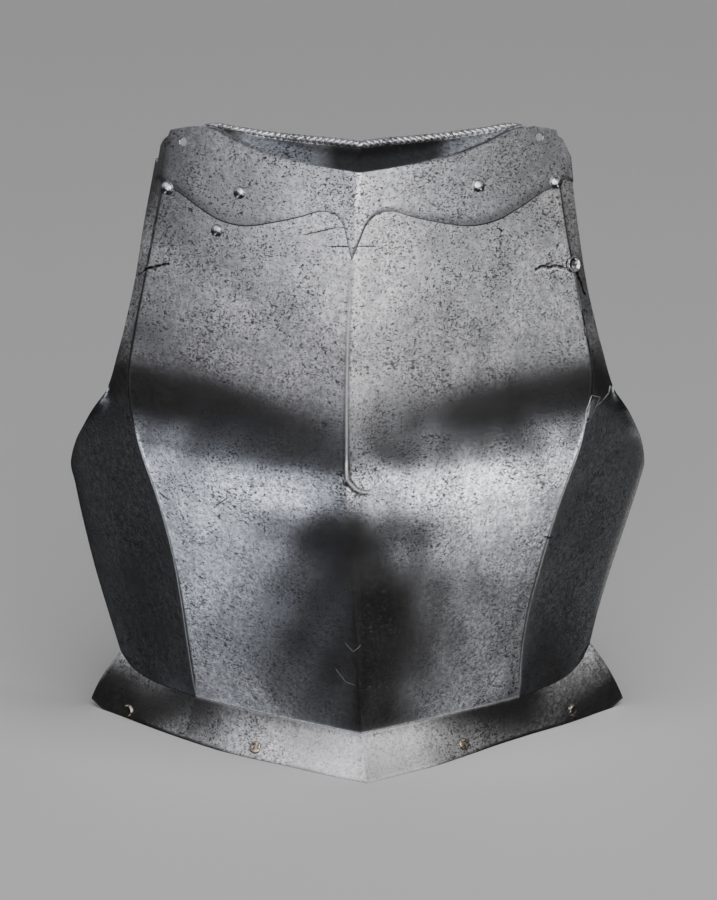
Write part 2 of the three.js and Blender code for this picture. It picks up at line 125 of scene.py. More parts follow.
def curve(table, key, column):
    """A smooth curve through one column of a table, as a function of its key column."""
    at = np.array(table[key], float)
    value = np.array(table[column], float)
    step = np.diff(value) / np.diff(at)
    gap = np.diff(at)
    slope = np.empty_like(value)
    slope[0], slope[-1] = step[0], step[-1]
    slope[1:-1] = (step[:-1] * gap[1:] + step[1:] * gap[:-1]) / (gap[:-1] + gap[1:])

    def at_key(x):
        x = np.asarray(x, float)
        i = np.clip(np.searchsorted(at, x, side="right") - 1, 0, len(at) - 2)
        span = gap[i]
        t = (x - at[i]) / span
        return (
            value[i] * (1 + 2 * t) * (1 - t) ** 2
            + slope[i] * span * t * (1 - t) ** 2
            + value[i + 1] * t * t * (3 - 2 * t)
            + slope[i + 1] * span * t * t * (t - 1)
        )

    return at_key


ridge_x, ridge_y, ridge_ease = (curve(RIDGE, "z", c) for c in ("x", "y", "ease"))
crease_x, crease_y, crease_sway = (curve(CREASE, "z", c) for c in ("x", "y", "sway"))
edge_x, edge_y, edge_z, edge_sway, edge_swell = (
    curve(SIDE_EDGE, "crease", c) for c in ("x", "y", "z", "sway", "swell")
)
top_z = curve(TOP_EDGE, "across", "z")
cusp_z = curve(CUSP, "across", "z")
flange_x, flange_right, flange_left, flange_z, flange_bow = (
    curve(FLANGE_EDGE, "across", c) for c in ("x", "right", "left", "z", "bow")
)


def body_point(across, z):
    """Points of the outer surface. across: -2 at the wearer's right edge, 0 at the ridge, 2 at the left."""
    across, z = np.broadcast_arrays(np.asarray(across, float), np.asarray(z, float))
    k = np.abs(across)
    side = np.where(across < 0, -1.0, 1.0)

    inner = np.minimum(k, 1)
    fall = ridge_ease(z) * inner + (1 - ridge_ease(z)) * inner**2
    front_x = inner * (side * crease_x(z) + crease_sway(z)) + (1 - inner) * ridge_x(z)
    front_y = ridge_y(z) + (crease_y(z) - ridge_y(z)) * fall
    front = np.stack([front_x, front_y, z], -1)

    r = np.maximum(k - 1, 0)
    run_x = edge_x(z) - crease_x(z)
    run_y = edge_y(z) - crease_y(z)
    bulge = (27 / 4) * r * r * (1 - r)  # 1 at its highest
    swell = edge_swell(z) * bulge / np.hypot(run_x, run_y)
    low = np.maximum(0, 1 - (z - WAIST_Z) / WAIST_BLEND) ** 2
    extra = np.where(side > 0, LEFT_END_RISE, 0.0)
    panel_x = side * (crease_x(z) + run_x * r + swell * run_y)
    panel_x = panel_x + crease_sway(z) + (edge_sway(z) - crease_sway(z)) * r
    panel_y = crease_y(z) + run_y * r - swell * run_x
    panel_z = z + (edge_z(z) - z) * r + low * (WAIST_END_RISE * (r**4 - r) + extra * r**4)
    panel = np.stack([panel_x, panel_y, panel_z], -1)
    return np.where((k <= 1)[..., None], front, panel)


def flange_point(across, down):
    """Points of the waist flange. down: 0 at the waist, 1 at its edge."""
    across, down = np.broadcast_arrays(np.asarray(across, float), np.asarray(down, float))
    k = np.abs(across)
    side = np.where(across < 0, -1.0, 1.0)
    x = side * flange_x(k) + FLANGE_TIP_X * np.maximum(0, 1 - k)
    y = np.where(across < 0, flange_right(k), flange_left(k))
    foot = np.stack([x, y, flange_z(k)], -1)
    waist = body_point(across, WAIST_Z)
    bow = flange_bow(k) * 4 * down * (1 - down) * BOW_LEAN
    point = waist + (foot - waist) * down[..., None]
    point[..., 0] -= side * np.minimum(k, 1) * bow
    point[..., 1] += bow
    return point


def flange_end(across):
    """The down value at which the flange meets the ground, or its free end."""
    top = body_point(across, WAIST_Z)[..., 2]
    return np.minimum(top / (top - flange_z(np.abs(across))), FLANGE_REACH)


def neck_point(across, back):
    """Points of the neck flange. back: 0 at the neckline, 1 at the rim."""
    across, back = np.broadcast_arrays(np.asarray(across, float), np.asarray(back, float))
    left = 1 - (across / NECK_END) ** 2
    point = body_point(across, top_z(np.abs(across))).copy()
    rise = NECK_RISE * left - NECK_END_DROP * (1 - left)
    point[..., 1] += back * (NECK_END_RUN + (NECK_RUN - NECK_END_RUN) * left)
    point[..., 2] += rise * (NECK_STEADY * back + (1 - NECK_STEADY) * back**2)
    return point


def frame_shift():
    """From the surface's own millimetres to the frame's: the sides, front and top meet the frame's."""
    low, high = (np.array(corner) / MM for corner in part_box("breast_plate"))
    own = body_point(np.linspace(-2, 2, 401)[None], np.linspace(WAIST_Z, LAP_Z, 369)[:, None])
    own = own.reshape(-1, 3)
    middle = (own[:, 0].min() + own[:, 0].max()) / 2
    return np.array([(low[0] + high[0]) / 2 - middle, low[1] - own[:, 1].min(), high[2] - LAP_Z])


SHIFT = frame_shift()


def to_frame(points):
    return (np.asarray(points, float) + SHIFT) * MM


def spot(surface, a, b, turn=1):
    """A point of a surface and the way out of it. turn is -1 where the second value runs down."""
    step = 1e-3
    along_a = surface(a + step, b) - surface(a - step, b)
    along_b = surface(a, b + step) - surface(a, b - step)
    out = np.cross(along_a, along_b) * turn
    return surface(a, b), out / np.linalg.norm(out)


def front_spot(x, z):
    """The spot of the front face with that x and height."""
    side = -1 if x < ridge_x(z) else 1
    k = (x - ridge_x(z)) / (side * crease_x(z) + crease_sway(z) - ridge_x(z))
    return spot(body_point, side * k, z)


def crease_spot(side, z):
    """On the crease itself, facing halfway between the two faces that meet there."""
    out = spot(body_point, side * 0.97, z)[1] + spot(body_point, side * 1.4, z)[1]
    return body_point(side, z), out / np.linalg.norm(out)


# ---- Meshes --------------------------------------------------------------------------------------
MITRE_LIMIT = 0.6  # keeps the points of a sharp corner from being pushed out too far
ROUNDED_FROM = math.radians(58)  # edges that bend by more than this are worn round
SHARP_FROM = math.radians(40)  # and by more than this are shaded as sharp
HOLE_RADIUS = 2.5
DRILL_DEPTH = 8
CUTTER_TOP = 6  # how far cutters stand out of the plate


def waves(points, length, seed, count=9):
    """A smooth random field of about -1 to 1 over points, with waves of about that length."""
    rng = np.random.default_rng(seed)
    ways = rng.normal(size=(count, 3))
    ways /= np.linalg.norm(ways, axis=1)[:, None]
    stretch = rng.uniform(0.7, 1.5, count)
    phase = rng.uniform(0, 2 * math.pi, count)
    total = sum(
        np.sin(2 * math.pi * (points @ way) * s / length + p) for way, s, p in zip(ways, stretch, phase)
    )
    return total / math.sqrt(count)


def bell(distance, width):
    return np.exp(-((distance / width) ** 2))


def ramp(x, start, end):
    """0 at start, 1 at end, smooth between."""
    t = np.clip((x - start) / (end - start), 0, 1)
    return t * t * (3 - 2 * t)


def linked(name, data):
    """A new object in the scene."""
    obj = bpy.data.objects.new(name, data)
    bpy.context.scene.collection.objects.link(obj)
    return obj


def mesh_object(name, points, faces=(), smooth=True):
    """A mesh object from points in metres."""
    mesh = bpy.data.meshes.new(name)
    mesh.from_pydata(np.asarray(points).tolist(), [], faces, shade_flat=not smooth)
    return linked(name, mesh)


def grid_quads(ids):
    """Quads that face outwards between the rows of a grid of point numbers."""
    return np.stack([ids[:-1, :-1], ids[:-1, 1:], ids[1:, 1:], ids[1:, :-1]], -1).reshape(-1, 4)


def outward(points, quads):
    """For each point, the shift that moves the faces round it out by 1 mm."""
    a, b, c, d = (points[quads[:, i]] for i in range(4))
    normal = np.cross(c - a, d - b)
    area = np.linalg.norm(normal, axis=1)
    unit = normal / np.maximum(area, 1e-9)[:, None]
    mean = np.zeros_like(points)
    total = np.zeros(len(points))
    for i in range(4):
        np.add.at(mean, quads[:, i], normal)
        np.add.at(total, quads[:, i], area)
    mean /= np.linalg.norm(mean, axis=1)[:, None]
    lean = np.zeros(len(points))
    for i in range(4):
        np.add.at(lean, quads[:, i], (unit * mean[quads[:, i]]).sum(1) * area)
    return mean / np.maximum(lean / total, MITRE_LIMIT)[:, None]


def shell(name, points, quads, outer, inner, floor=-math.inf):
    """A closed mesh object from a sheet moved out by outer and inner millimetres. Its inside is slot 1."""
    count = len(points)
    out = outward(points, quads)
    points = np.concatenate([points + out * outer[:, None], points + out * inner[:, None]])
    points[:, 2] = np.maximum(points[:, 2], floor)
    edges = np.concatenate([quads[:, [i, (i + 1) % 4]] for i in range(4)])
    seen = {(int(a), int(b)) for a, b in edges}
    border = sorted((a, b) for a, b in seen if (b, a) not in seen)
    rim = np.array([(b, a, a + count, b + count) for a, b in border])
    faces = np.concatenate([quads, rim, quads[:, ::-1] + count])
    obj = mesh_object(name, to_frame(points), faces.tolist())
    inside = np.arange(len(faces)) >= len(quads) + len(rim)
    obj.data.polygons.foreach_set("material_index", inside.astype(np.int32))
    return obj


def add_values(obj, name, values):
    """Keeps a number for each point of a shell's outside, and 0 inside, for its material to read."""
    values = np.concatenate([values.ravel(), np.zeros(values.size)])
    layer = obj.data.attributes.new(name, "FLOAT", "POINT")
    layer.data.foreach_set("value", values.astype(np.float32))


def lathe(name, profile, steps=32):
    """A closed turned mesh, round +Z, from (radius, height) pairs that run up the outside."""
    points = [(0, 0, profile[0][1]), (0, 0, profile[-1][1])]
    ring = [(r, h) for r, h in profile if r > 0]
    turn = [2 * math.pi * i / steps for i in range(steps)]
    points += [(r * math.cos(angle), r * math.sin(angle), h) for r, h in ring for angle in turn]
    faces = []
    for i in range(steps):
        j = (i + 1) % steps
        faces.append((0, 2 + j, 2 + i))
        for row in range(len(ring) - 1):
            low, high = 2 + row * steps, 2 + (row + 1) * steps
            faces.append((low + i, low + j, high + j, high + i))
        last = 2 + (len(ring) - 1) * steps
        faces.append((1, last + i, last + j))
    return mesh_object(name, np.array(points) * MM, faces)


def flattened(obj, name):
    """The object with its modifiers worked out, as a plain mesh of that name."""
    bpy.context.view_layer.update()
    ready = obj.evaluated_get(bpy.context.evaluated_depsgraph_get())
    mesh = bpy.data.meshes.new_from_object(ready)
    old = obj.data
    bpy.data.objects.remove(obj)
    if old.users == 0 and isinstance(old, bpy.types.Mesh):
        bpy.data.meshes.remove(old)
    mesh.name = name
    return linked(name, mesh)


def worn_edges(obj, radius):
    """The object with its edges rounded, as a plain mesh."""
    rounding = obj.modifiers.new("worn edges", "BEVEL")
    rounding.width = radius
    rounding.segments = 2
    rounding.limit_method = "ANGLE"
    rounding.angle_limit = ROUNDED_FROM
    rounding.use_clamp_overlap = False
    return flattened(obj, obj.name)


def cut(obj, cutters):
    """Cuts closed meshes out of an object, removes them and marks the sharp edges."""
    whole = len(obj.data.polygons)
    for cutter in cutters:
        bite = obj.modifiers.new("cut", "BOOLEAN")
        bite.operation = "DIFFERENCE"
        bite.solver = "MANIFOLD"
        bite.object = cutter
    made = flattened(obj, obj.name)
    if len(made.data.polygons) < whole / 2:
        raise RuntimeError(f"cutting {obj.name} lost its faces")
    for cutter in cutters:
        bpy.data.objects.remove(cutter)
    made.data.set_sharp_from_angle(angle=SHARP_FROM)
    return made


def drill(flare, place):
    """A cutter for a round hole whose outer edge is broken by a small flare."""
    wide = HOLE_RADIUS + flare
    profile = [(HOLE_RADIUS, h) for h in (-DRILL_DEPTH, -0.6, -flare)] + [(wide, 0.02), (wide, CUTTER_TOP)]
    cutter = lathe("drill", profile, 28)
    point, out = place
    turn = Vector((0, 0, 1)).rotation_difference(Vector(out)).to_matrix().to_4x4()
    turn.translation = Vector(to_frame(point))
    cutter.data.transform(turn)
    return cutter


def blade(places, width, depth=1.75):
    """A cutter for a crack: a thin wavering slot along (across, z) places, wide at first, pointed at last."""
    spots = [spot(body_point, across, z) for across, z in places]
    last = len(spots) - 1
    rows = []
    for i, (point, out) in enumerate(spots):
        ahead = spots[min(i + 1, last)][0] - spots[max(i - 1, 0)][0]
        side = np.cross(out, ahead)
        side /= np.linalg.norm(side)
        half = width * (0.5 if i else 0.6) * (0.25 if i == last else 1)
        corners = ((-0.6, -depth), (0.6, -depth), (1, CUTTER_TOP), (-1, CUTTER_TOP))
        rows.append([point + side * s * half + out * h for s, h in corners])
    faces = [(0, 1, 2, 3), tuple(4 * last + i for i in (3, 2, 1, 0))]
    for row in range(last):
        for i in range(4):
            a, j = 4 * row, (i + 1) % 4
            faces.append((a + i, a + 4 + i, a + 4 + j, a + j))
    cutter = mesh_object("blade", to_frame(np.array(rows).reshape(-1, 3)), faces, smooth=False)
    work = bmesh.new()
    work.from_mesh(cutter.data)
    bmesh.ops.recalc_face_normals(work, faces=work.faces)
    work.to_mesh(cutter.data)
    work.free()
    return cutter


def both_sides(shares):
    return np.concatenate([-shares[::-1], [0.0], shares])


# ---- Node trees ----------------------------------------------------------------------------------
EFFECTS = {}


class Tree:
    """Adds nodes to a tree. A value given for an input is a socket to link or a plain default."""

    def __init__(self, tree):
        self.tree = tree

    def feed(self, socket, value):
        if isinstance(value, bpy.types.NodeSocket):
            self.tree.links.new(value, socket)
        else:
            socket.default_value = value

    def add(self, kind, inputs=None, out=0, **settings):
        node = self.tree.nodes.new(kind)
        for key, value in settings.items():
            setattr(node, key, value)
        for key, value in (inputs or {}).items():
            self.feed(node.inputs[key], value)
        return node.outputs[out]

    def effect(self, make, **inputs):
        """Places a shared effect, which make builds the first time, and returns its outputs.

        An underscore stands for the space in an input's name.
        """
        if make not in EFFECTS:
            EFFECTS[make] = make()
        out = self.add("ShaderNodeGroup", node_tree=EFFECTS[make])
        for key, value in inputs.items():
            self.feed(out.node.inputs[key.replace("_", " ")], value)
        return out.node.outputs

    def math(self, operation, a, b=0.0, c=0.0, clamp=False):
        return self.add("ShaderNodeMath", {0: a, 1: b, 2: c}, operation=operation, use_clamp=clamp)

    def times(self, a, b):
        return self.math("MULTIPLY", a, b)

    def line(self, x, slope, start):
        """x * slope + start."""
        return self.math("MULTIPLY_ADD", x, slope, start)

    def vector(self, operation, a, b=(0, 0, 0)):
        inputs = {0: a}
        if operation == "SCALE":
            inputs["Scale"] = b
        elif operation != "LENGTH":
            inputs[1] = b
        out = "Value" if operation in ("DOT_PRODUCT", "LENGTH") else 0
        return self.add("ShaderNodeVectorMath", inputs, out, operation=operation)

    def smooth(self, x, start, end):
        """0 at start, 1 at end, smooth between."""
        inputs = {"Value": x, "From Min": start, "From Max": end}
        return self.add("ShaderNodeMapRange", inputs, interpolation_type="SMOOTHSTEP")

    def noise(self, position, size, detail, roughness=0.5, distortion=0.0):
        """Noise with features of about that size. A socket given as size is their number to a metre."""
        scale = 1 / size if isinstance(size, float) else size
        inputs = {"Vector": position, "Scale": scale, "Detail": detail, "Roughness": roughness}
        return self.add("ShaderNodeTexNoise", {**inputs, "Distortion": distortion}, "Fac")

    def mix(self, share, a, b):
        """A colour between two, each a socket or three numbers."""
        out = self.add("ShaderNodeMix", out=2, data_type="RGBA")
        for i, value in ((0, share), (6, a), (7, b)):
            self.feed(out.node.inputs[i], (*value, 1) if isinstance(value, tuple) else value)
        return out

    def bump(self, height, strength):
        return self.add("ShaderNodeBump", {"Height": height, "Distance": MM, "Strength": strength})


def group_tree(name, inputs, outputs, kind="Shader"):
    """A new node group. inputs: each one's type, or its default where it is a number or a vector."""
    group = bpy.data.node_groups.new(name, f"{kind}NodeTree")
    for title, value in inputs.items():
        sort = value if isinstance(value, str) else "Float" if isinstance(value, float) else "Vector"
        socket = group.interface.new_socket(title, in_out="INPUT", socket_type=f"NodeSocket{sort}")
        if sort != value:
            socket.default_value = value
    for title in outputs:
        sort = "Geometry" if title == "Geometry" else "Float"
        group.interface.new_socket(title, in_out="OUTPUT", socket_type=f"NodeSocket{sort}")
    start = group.nodes.new("NodeGroupInput")
    end = group.nodes.new("NodeGroupOutput")
    return group, Tree(group), start.outputs, end.inputs


def pits_group():
    """Rust pits: small dark specks, thicker in some places than in others."""
    inputs = {"Position": "Vector", "Size": 0.001, "Amount": 0.5, "Cloud Size": 0.04, "Cloud Share": 0.5}
    group, t, given, result = group_tree("Rust pits", inputs, ["Mask", "Height"])
    scale = t.math("DIVIDE", 1.0, given["Size"])
    cloud_scale = t.math("DIVIDE", 1.0, given["Cloud Size"])
    lying = t.vector("MULTIPLY", given["Position"], (0.7, 0.7, 1.0))
    specks = t.noise(lying, scale, 3.0, 0.6)
    cloud = t.smooth(t.noise(given["Position"], cloud_scale, 5.0, 0.65), 0.36, 0.66)
    bare = t.math("SUBTRACT", 1.0, given["Cloud Share"])
    thick = t.line(cloud, given["Cloud Share"], bare)
    level = t.line(t.times(given["Amount"], thick), -0.2, 0.72)
    depth = t.math("SUBTRACT", specks, level)
    t.feed(result["Mask"], t.smooth(depth, -0.005, 0.04))
    t.feed(result["Height"], t.times(t.smooth(depth, -0.03, 0.12), -1.0))
    return group


def mark_group():
    """One straight or wavering line between two places of the front, by x and z alone. Scratches, painted
    shade and painted highlights are drawn with it.
    """
    inputs = {"Position": "Vector", "Start": (0, 0, 0), "End": (0, 0, 0.01), "Width": 0.0006, "Waver": 0.0}
    group, t, given, result = group_tree("Mark", inputs, ["Mask"])
    wander = {"Vector": given["Position"], "Scale": 170.0, "Detail": 3.0}
    wander = t.add("ShaderNodeTexNoise", wander, "Color")
    wander = t.vector("SCALE", t.vector("SUBTRACT", wander, (0.5, 0.5, 0.5)), given["Waver"])
    place = t.vector("ADD", given["Position"], wander)
    from_start = t.vector("MULTIPLY", t.vector("SUBTRACT", place, given["Start"]), (1, 0, 1))
    whole = t.vector("SUBTRACT", given["End"], given["Start"])
    squared = t.vector("DOT_PRODUCT", whole, whole)
    along = t.math("DIVIDE", t.vector("DOT_PRODUCT", from_start, whole), squared, clamp=True)
    off = t.vector("LENGTH", t.vector("SUBTRACT", from_start, t.vector("SCALE", whole, along)))
    ends = t.math("POWER", t.math("ABSOLUTE", t.line(along, 2.0, -1.0)), 4.0)
    width = t.times(given["Width"], t.line(ends, -0.6, 1.0))
    t.feed(result["Mask"], t.smooth(off, width, t.times(width, 0.35)))
    return group


def grain_group():
    """Fine polishing lines along and across the plate, as a mask and a height."""
    inputs = {"Position": "Vector", "Line Width": 0.001}
    group, t, given, result = group_tree("Polishing grain", inputs, ["Lines", "Height"])
    place = t.vector("SCALE", given["Position"], t.math("DIVIDE", 1.0, given["Line Width"]))
    level, upright = (
        t.noise(t.vector("MULTIPLY", place, stretch), 1.0, 3.0, 0.6)
        for stretch in ((0.06, 0.06, 1.0), (1.0, 0.3, 0.06))
    )
    lines = t.times(t.math("ADD", level, upright), 0.5)
    t.feed(result["Lines"], t.smooth(lines, 0.4, 0.62))
    t.feed(result["Height"], lines)
    return group


def patina_group():
    """Large soft patches of duller, darker metal, and a finer mottling."""
    group, t, given, result = group_tree("Patina", {"Position": "Vector", "Size": 0.05}, ["Mask", "Fine"])
    scale = t.math("DIVIDE", 1.0, given["Size"])
    broad = t.noise(given["Position"], scale, 4.0, 0.6, 0.3)
    fine = t.noise(given["Position"], t.times(scale, 9.0), 4.0, 0.65)
    t.feed(result["Mask"], t.smooth(broad, 0.4, 0.68))
    t.feed(result["Fine"], t.smooth(fine, 0.35, 0.7))
    return group


# Scratches of the front: x and z of both ends, width and waver in millimetres, strength.
DARK_MARKS = [
    (-17.5, 358.0, -1.0, 359.6, 0.55, 0.8, 1.0),
    (-1.0, 359.6, 12.0, 358.2, 0.5, 0.8, 1.0),
    (-34.0, 362.6, -12.0, 369.8, 0.5, 0.6, 1.0),
    (-12.0, 369.8, 6.0, 371.2, 0.4, 0.6, 1.0),
    (-125.5, 184.5, -119.0, 180.0, 0.7, 1.5, 1.0),
    (-90.0, 182.0, -80.5, 191.5, 0.6, 0.8, 1.0),
    (-58.0, 170.0, -58.0, 175.5, 0.4, 0.3, 1.0),
    (86.5, 345.0, 87.0, 349.0, 0.4, 0.3, 1.0),
]
LIGHT_MARKS = [
    (-7.5, 97.0, -2.5, 91.5, 0.3, 0.8, 0.4),
    (-2.5, 91.5, 2.5, 96.5, 0.25, 0.6, 0.4),
    (-13.5, 75.5, -7.5, 67.0, 0.3, 0.8, 0.4),
    (-7.5, 67.0, -1.5, 65.5, 0.25, 0.6, 0.4),
]
# Colour of the pits, the dark scratches and the painted shade.
PIT_AND_SHADE_COLOR = (0.013, 0.0125, 0.011)
# Colour of the light scratches and the painted highlights.
SCRATCH_AND_HIGHLIGHT_COLOR = (0.95, 0.95, 0.94)


def surface_marks(places, width, waver, lower=0.0, strength=1.0):
    """Marks that join (across, z) places of the surface. lower sets them that far lower down."""
    points = [body_point(across, z) for across, z in places]
    flat = [(float(x), float(z) - lower) for x, y, z in points]
    return [(*a, *b, width, waver, strength) for a, b in zip(flat[:-1], flat[1:])]


def all_marks(t, position, rows):
    """The strongest of several marks at each place."""
    total = 0.0
    for x0, z0, x1, z1, width, waver, strength in rows:
        start, end = (tuple(to_frame((x, 0.0, z)) * (1, 0, 1)) for x, z in ((x0, z0), (x1, z1)))
        ends = {"Start": start, "End": end}
        mask = t.effect(mark_group, Position=position, Width=width * MM, Waver=waver * MM, **ends)[0]
        total = t.math("MAXIMUM", total, t.times(mask, strength))
    return total


def new_material(name):
    """A new material, its tree, the position that its effects follow, and its shader's inputs."""
    material = bpy.data.materials.new(name)
    material.use_nodes = True
    t = Tree(material.node_tree)
    position = t.add("ShaderNodeTexCoord", out="Object")
    return material, t, position, material.node_tree.nodes["Principled BSDF"].inputs


def steel_material(name, look, dark_marks=(), light_marks=(), darkened=False):
    """Old polished steel. look gives its colours and how pitted, dull and rough it is.

    A darkened mesh carries an attribute of painted shade and darker patches, and one with light marks carries
    one of painted highlights as well.
    """
    material, t, position, shader = new_material(name)
    patch = t.effect(patina_group, Position=position, Size=0.06)["Mask"]
    grain, grain_height = t.effect(grain_group, Position=position, Line_Width=0.0011)
    specks = {"Size": 0.0011, "Amount": look["pits"] * 1.35, "Cloud_Size": 0.025, "Cloud_Share": 0.3}
    blots = {"Size": 0.0026, "Amount": look["pits"] * 0.9, "Cloud_Size": 0.05, "Cloud_Share": 0.6}
    small, small_height = t.effect(pits_group, Position=position, **specks)
    large, large_height = t.effect(pits_group, Position=position, **blots)
    mottle = t.smooth(t.noise(position, 0.0035, 5.0, 0.8), 0.38, 0.62)
    color = t.mix(mottle, look["bright"], look["mid"])
    color = t.mix(t.times(patch, look["patina"]), color, look["dull"])
    color = t.mix(t.times(grain, 0.35), color, look["dull"])
    pit = t.math("MAXIMUM", t.times(small, 0.86), t.times(large, 0.88))
    rough = t.line(mottle, 0.05, look["roughness"])
    rough = t.line(patch, 0.05, rough)
    rough = t.line(pit, 0.1, rough)
    dark = pit
    if dark_marks:
        dark = t.math("MAXIMUM", dark, all_marks(t, position, dark_marks))
    # Painted shade and darker patches from the mesh's attribute darken the colour as the pits do.
    if darkened:
        grime = t.add("ShaderNodeAttribute", out="Fac", attribute_name="grime")
        dark = t.math("MAXIMUM", dark, grime)
    color = t.mix(dark, color, PIT_AND_SHADE_COLOR)
    # Painted highlights from the mesh's attribute, with the light marks, lighten the colour.
    if light_marks:
        worn = t.add("ShaderNodeAttribute", out="Fac", attribute_name="worn")
        light = t.math("MAXIMUM", all_marks(t, position, light_marks), worn)
        color = t.mix(light, color, SCRATCH_AND_HIGHLIGHT_COLOR)
        rough = t.line(light, 0.4, rough)
    height = t.math("ADD", t.times(small_height, 0.015), t.times(large_height, 0.05))
    height = t.line(grain_height, 0.016, height)
    height = t.line(mottle, -0.012, height)
    t.feed(shader["Base Color"], color)
    t.feed(shader["Roughness"], rough)
    t.feed(shader["Metallic"], t.line(dark, -0.12, 0.98))
    t.feed(shader["Normal"], t.bump(height, look["bump"]))
    return material


def inside_material():
    """The unpolished inside: black from the hammer, with brown rust."""
    material, t, position, shader = new_material("inside_steel")
    patch, fine = t.effect(patina_group, Position=position, Size=0.05)
    pit, pit_height = t.effect(pits_group, Position=position, Size=0.0025, Amount=0.8, Cloud_Size=0.05)
    color = t.mix(fine, (0.16, 0.155, 0.15), (0.085, 0.08, 0.075))
    color = t.mix(t.times(patch, 0.6), color, (0.13, 0.085, 0.05))
    color = t.mix(pit, color, (0.03, 0.022, 0.016))
    height = t.line(t.noise(position, 0.018, 1.0), 0.5, t.times(pit_height, 0.12))
    t.feed(shader["Base Color"], color)
    t.feed(shader["Roughness"], t.line(fine, 0.18, 0.5))
    t.feed(shader["Metallic"], t.line(patch, -0.4, 0.95))
    t.feed(shader["Normal"], t.bump(height, 0.8))
    return material


# ---- Settings ------------------------------------------------------------------------------------
def length(name, description, default, least=0.0):
    """A length, with its default and least value in millimetres."""
    return FloatProperty(
        name=name, description=description, default=default * MM, min=least * MM, unit="LENGTH"
    )


def share(name, description, default, most=1.0):
    return FloatProperty(
        name=name, description=description, default=default, min=0.0, max=most, subtype="FACTOR"
    )


def paint(name, description, default):
    return FloatVectorProperty(
        name=name, description=description, default=default, subtype="COLOR", size=3, min=0.0, max=1.0
    )


class PlateSettings(bpy.types.PropertyGroup):
    """Sizes of the two plates' relief."""

    groove_depth: length("Groove Depth", "Depth of the line along the arm-openings", 0.12)
    hammer_depth: length("Hammering", "Height of the hammered waves of the plates", 0.11)
    step: length("Mesh Step", "Distance between the mesh's rows", 3.2, 1.5)
    edge: length("Edge Rounding", "Radius worn onto the plates' edges", 0.45)


class RopeSettings(bpy.types.PropertyGroup):
    """Sizes of the roped neck edge."""

    radius: length("Radius", "Radius of the roll at its middle", 2.75, 0.5)
    end_radius: length("End Radius", "Radius of the roll at its ends", 1.5, 0.3)
    strands: IntProperty(name="Strands", description="Grooves that wind round the roll", default=3, min=1)
    pitch: length("Pitch", "Length of one full turn of a groove", 12.0, 2.0)
    groove: share("Groove", "Share of the radius that a groove is deep", 0.2, 0.6)


class RivetSettings(bpy.types.PropertyGroup):
    """Sizes of the rivet heads."""

    dome_radius: length("Dome Radius", "Radius of the domed heads", 4.1, 1.0)
    dome_rise: length("Dome Rise", "Height of the domed heads", 2.6, 0.5)
    flat_radius: length("Flat Radius", "Radius of the flat heads on the flange", 3.9, 1.0)
    wobble: length("Wobble", "Unevenness that the hammer left on the heads", 0.35)


class SteelSettings(bpy.types.PropertyGroup):
    """Finish of the steel."""

    bright: paint("Polished Steel", "Colour of the brightest metal", (0.72, 0.725, 0.74))
    dull: paint("Dull Steel", "Colour of the patches of patina", (0.27, 0.275, 0.29))
    roughness: share("Roughness", "Roughness of the polished metal", 0.11)
    pits: share("Pitting", "How much of the surface is pitted", 0.7)


class StageSettings(bpy.types.PropertyGroup):
    """Floor, light and camera."""

    elevation: FloatProperty(name="Camera Elevation", description="Angle of the camera above the horizon",
                             default=math.radians(18), subtype="ANGLE")
    distance: length("Camera Distance", "From the camera to the middle of the chest", 3500, 500)
    floor_color: paint("Floor", "Colour of the floor", (0.62, 0.62, 0.62))
    light: FloatProperty(name="Light", description="Strength of the soft lights", default=1.0, min=0.0)


def steel_look(**changes):
    """The steel settings as a look, with changes for one piece. mid is the darker steel of the mottling."""
    steel = bpy.context.scene.cuirass_steel
    bright = tuple(steel.bright)
    look = {"bright": bright, "mid": tuple(0.48 * v for v in bright), "dull": tuple(steel.dull)}
    look.update({"roughness": steel.roughness, "pits": steel.pits, "patina": 0.5, "bump": 0.4})
    return {**look, **changes}


# ---- Main plate ----------------------------------------------------------------------------------
# Across values at which extra columns are set, close together beside the keel and the creases.
KEEL_SHARES = [0.004, 0.009, 0.016, 0.024, 0.032, 0.041, 0.05, 0.06, 0.07, 0.082, 0.094, 0.107]
CREASE_SHARES = [0.98, 0.989, 0.9935, 0.996, 0.998, 1.0]
PANEL_SHARES = [1.002, 1.005, 1.01, 1.03, 1.06, 1.1, 2.0]
# Heights, and down values of the flange, at which extra rows are set.
WAIST_ROWS = [28.0, 28.5, 29.3, 30.5]
CURL_ROWS = [*np.arange(204.0, 224.0, 0.9)]
FLANGE_ROWS = [0.0, 0.015, 0.04, 0.08]
# Rough sizes that the mesh step is counted over.
FRONT_WIDTH = 145
PANEL_WIDTH = 105
FLANGE_HEIGHT = 36

# Cracks, a slit and a chiselled scar, as (across, z) places.
RIGHT_CRACK = [(-1.99, 324.0), (-1.6, 325.6), (-1.1, 327.6), (-0.995, 329.0), (-0.965, 330.4),
               (-0.93, 332.4), (-0.905, 333.5), (-0.89, 333.8)]
LEFT_CRACK = [(0.955, 330.2), (0.93, 331.8), (0.91, 332.5), (0.895, 331.6), (0.88, 332.2),
              (0.86, 333.5), (0.84, 332.3), (0.825, 331.6)]
SLIT = [(0.972, 152.9), (0.985, 152.3), (1.005, 150.9), (1.05, 150.6)]
SCAR = [(0.985, 240.0), (1.008, 249.7), (1.2, 251.0), (1.1, 242.5), (1.04, 233.6), (0.993, 231.4),
        (0.985, 240.0)]
SCAR_MIDDLE = [(1.04, 247.0), (1.02, 235.0)]
SCAR_RIDGE = [(1.1, 243.0), (1.25, 250.0), (1.5, 259.0), (1.79, 267.0)]
PLUG_STREAK = [(1.2, 327.5), (1.26, 324.5), (1.345, 321.3), (1.45, 317.6), (1.53, 313.0)]
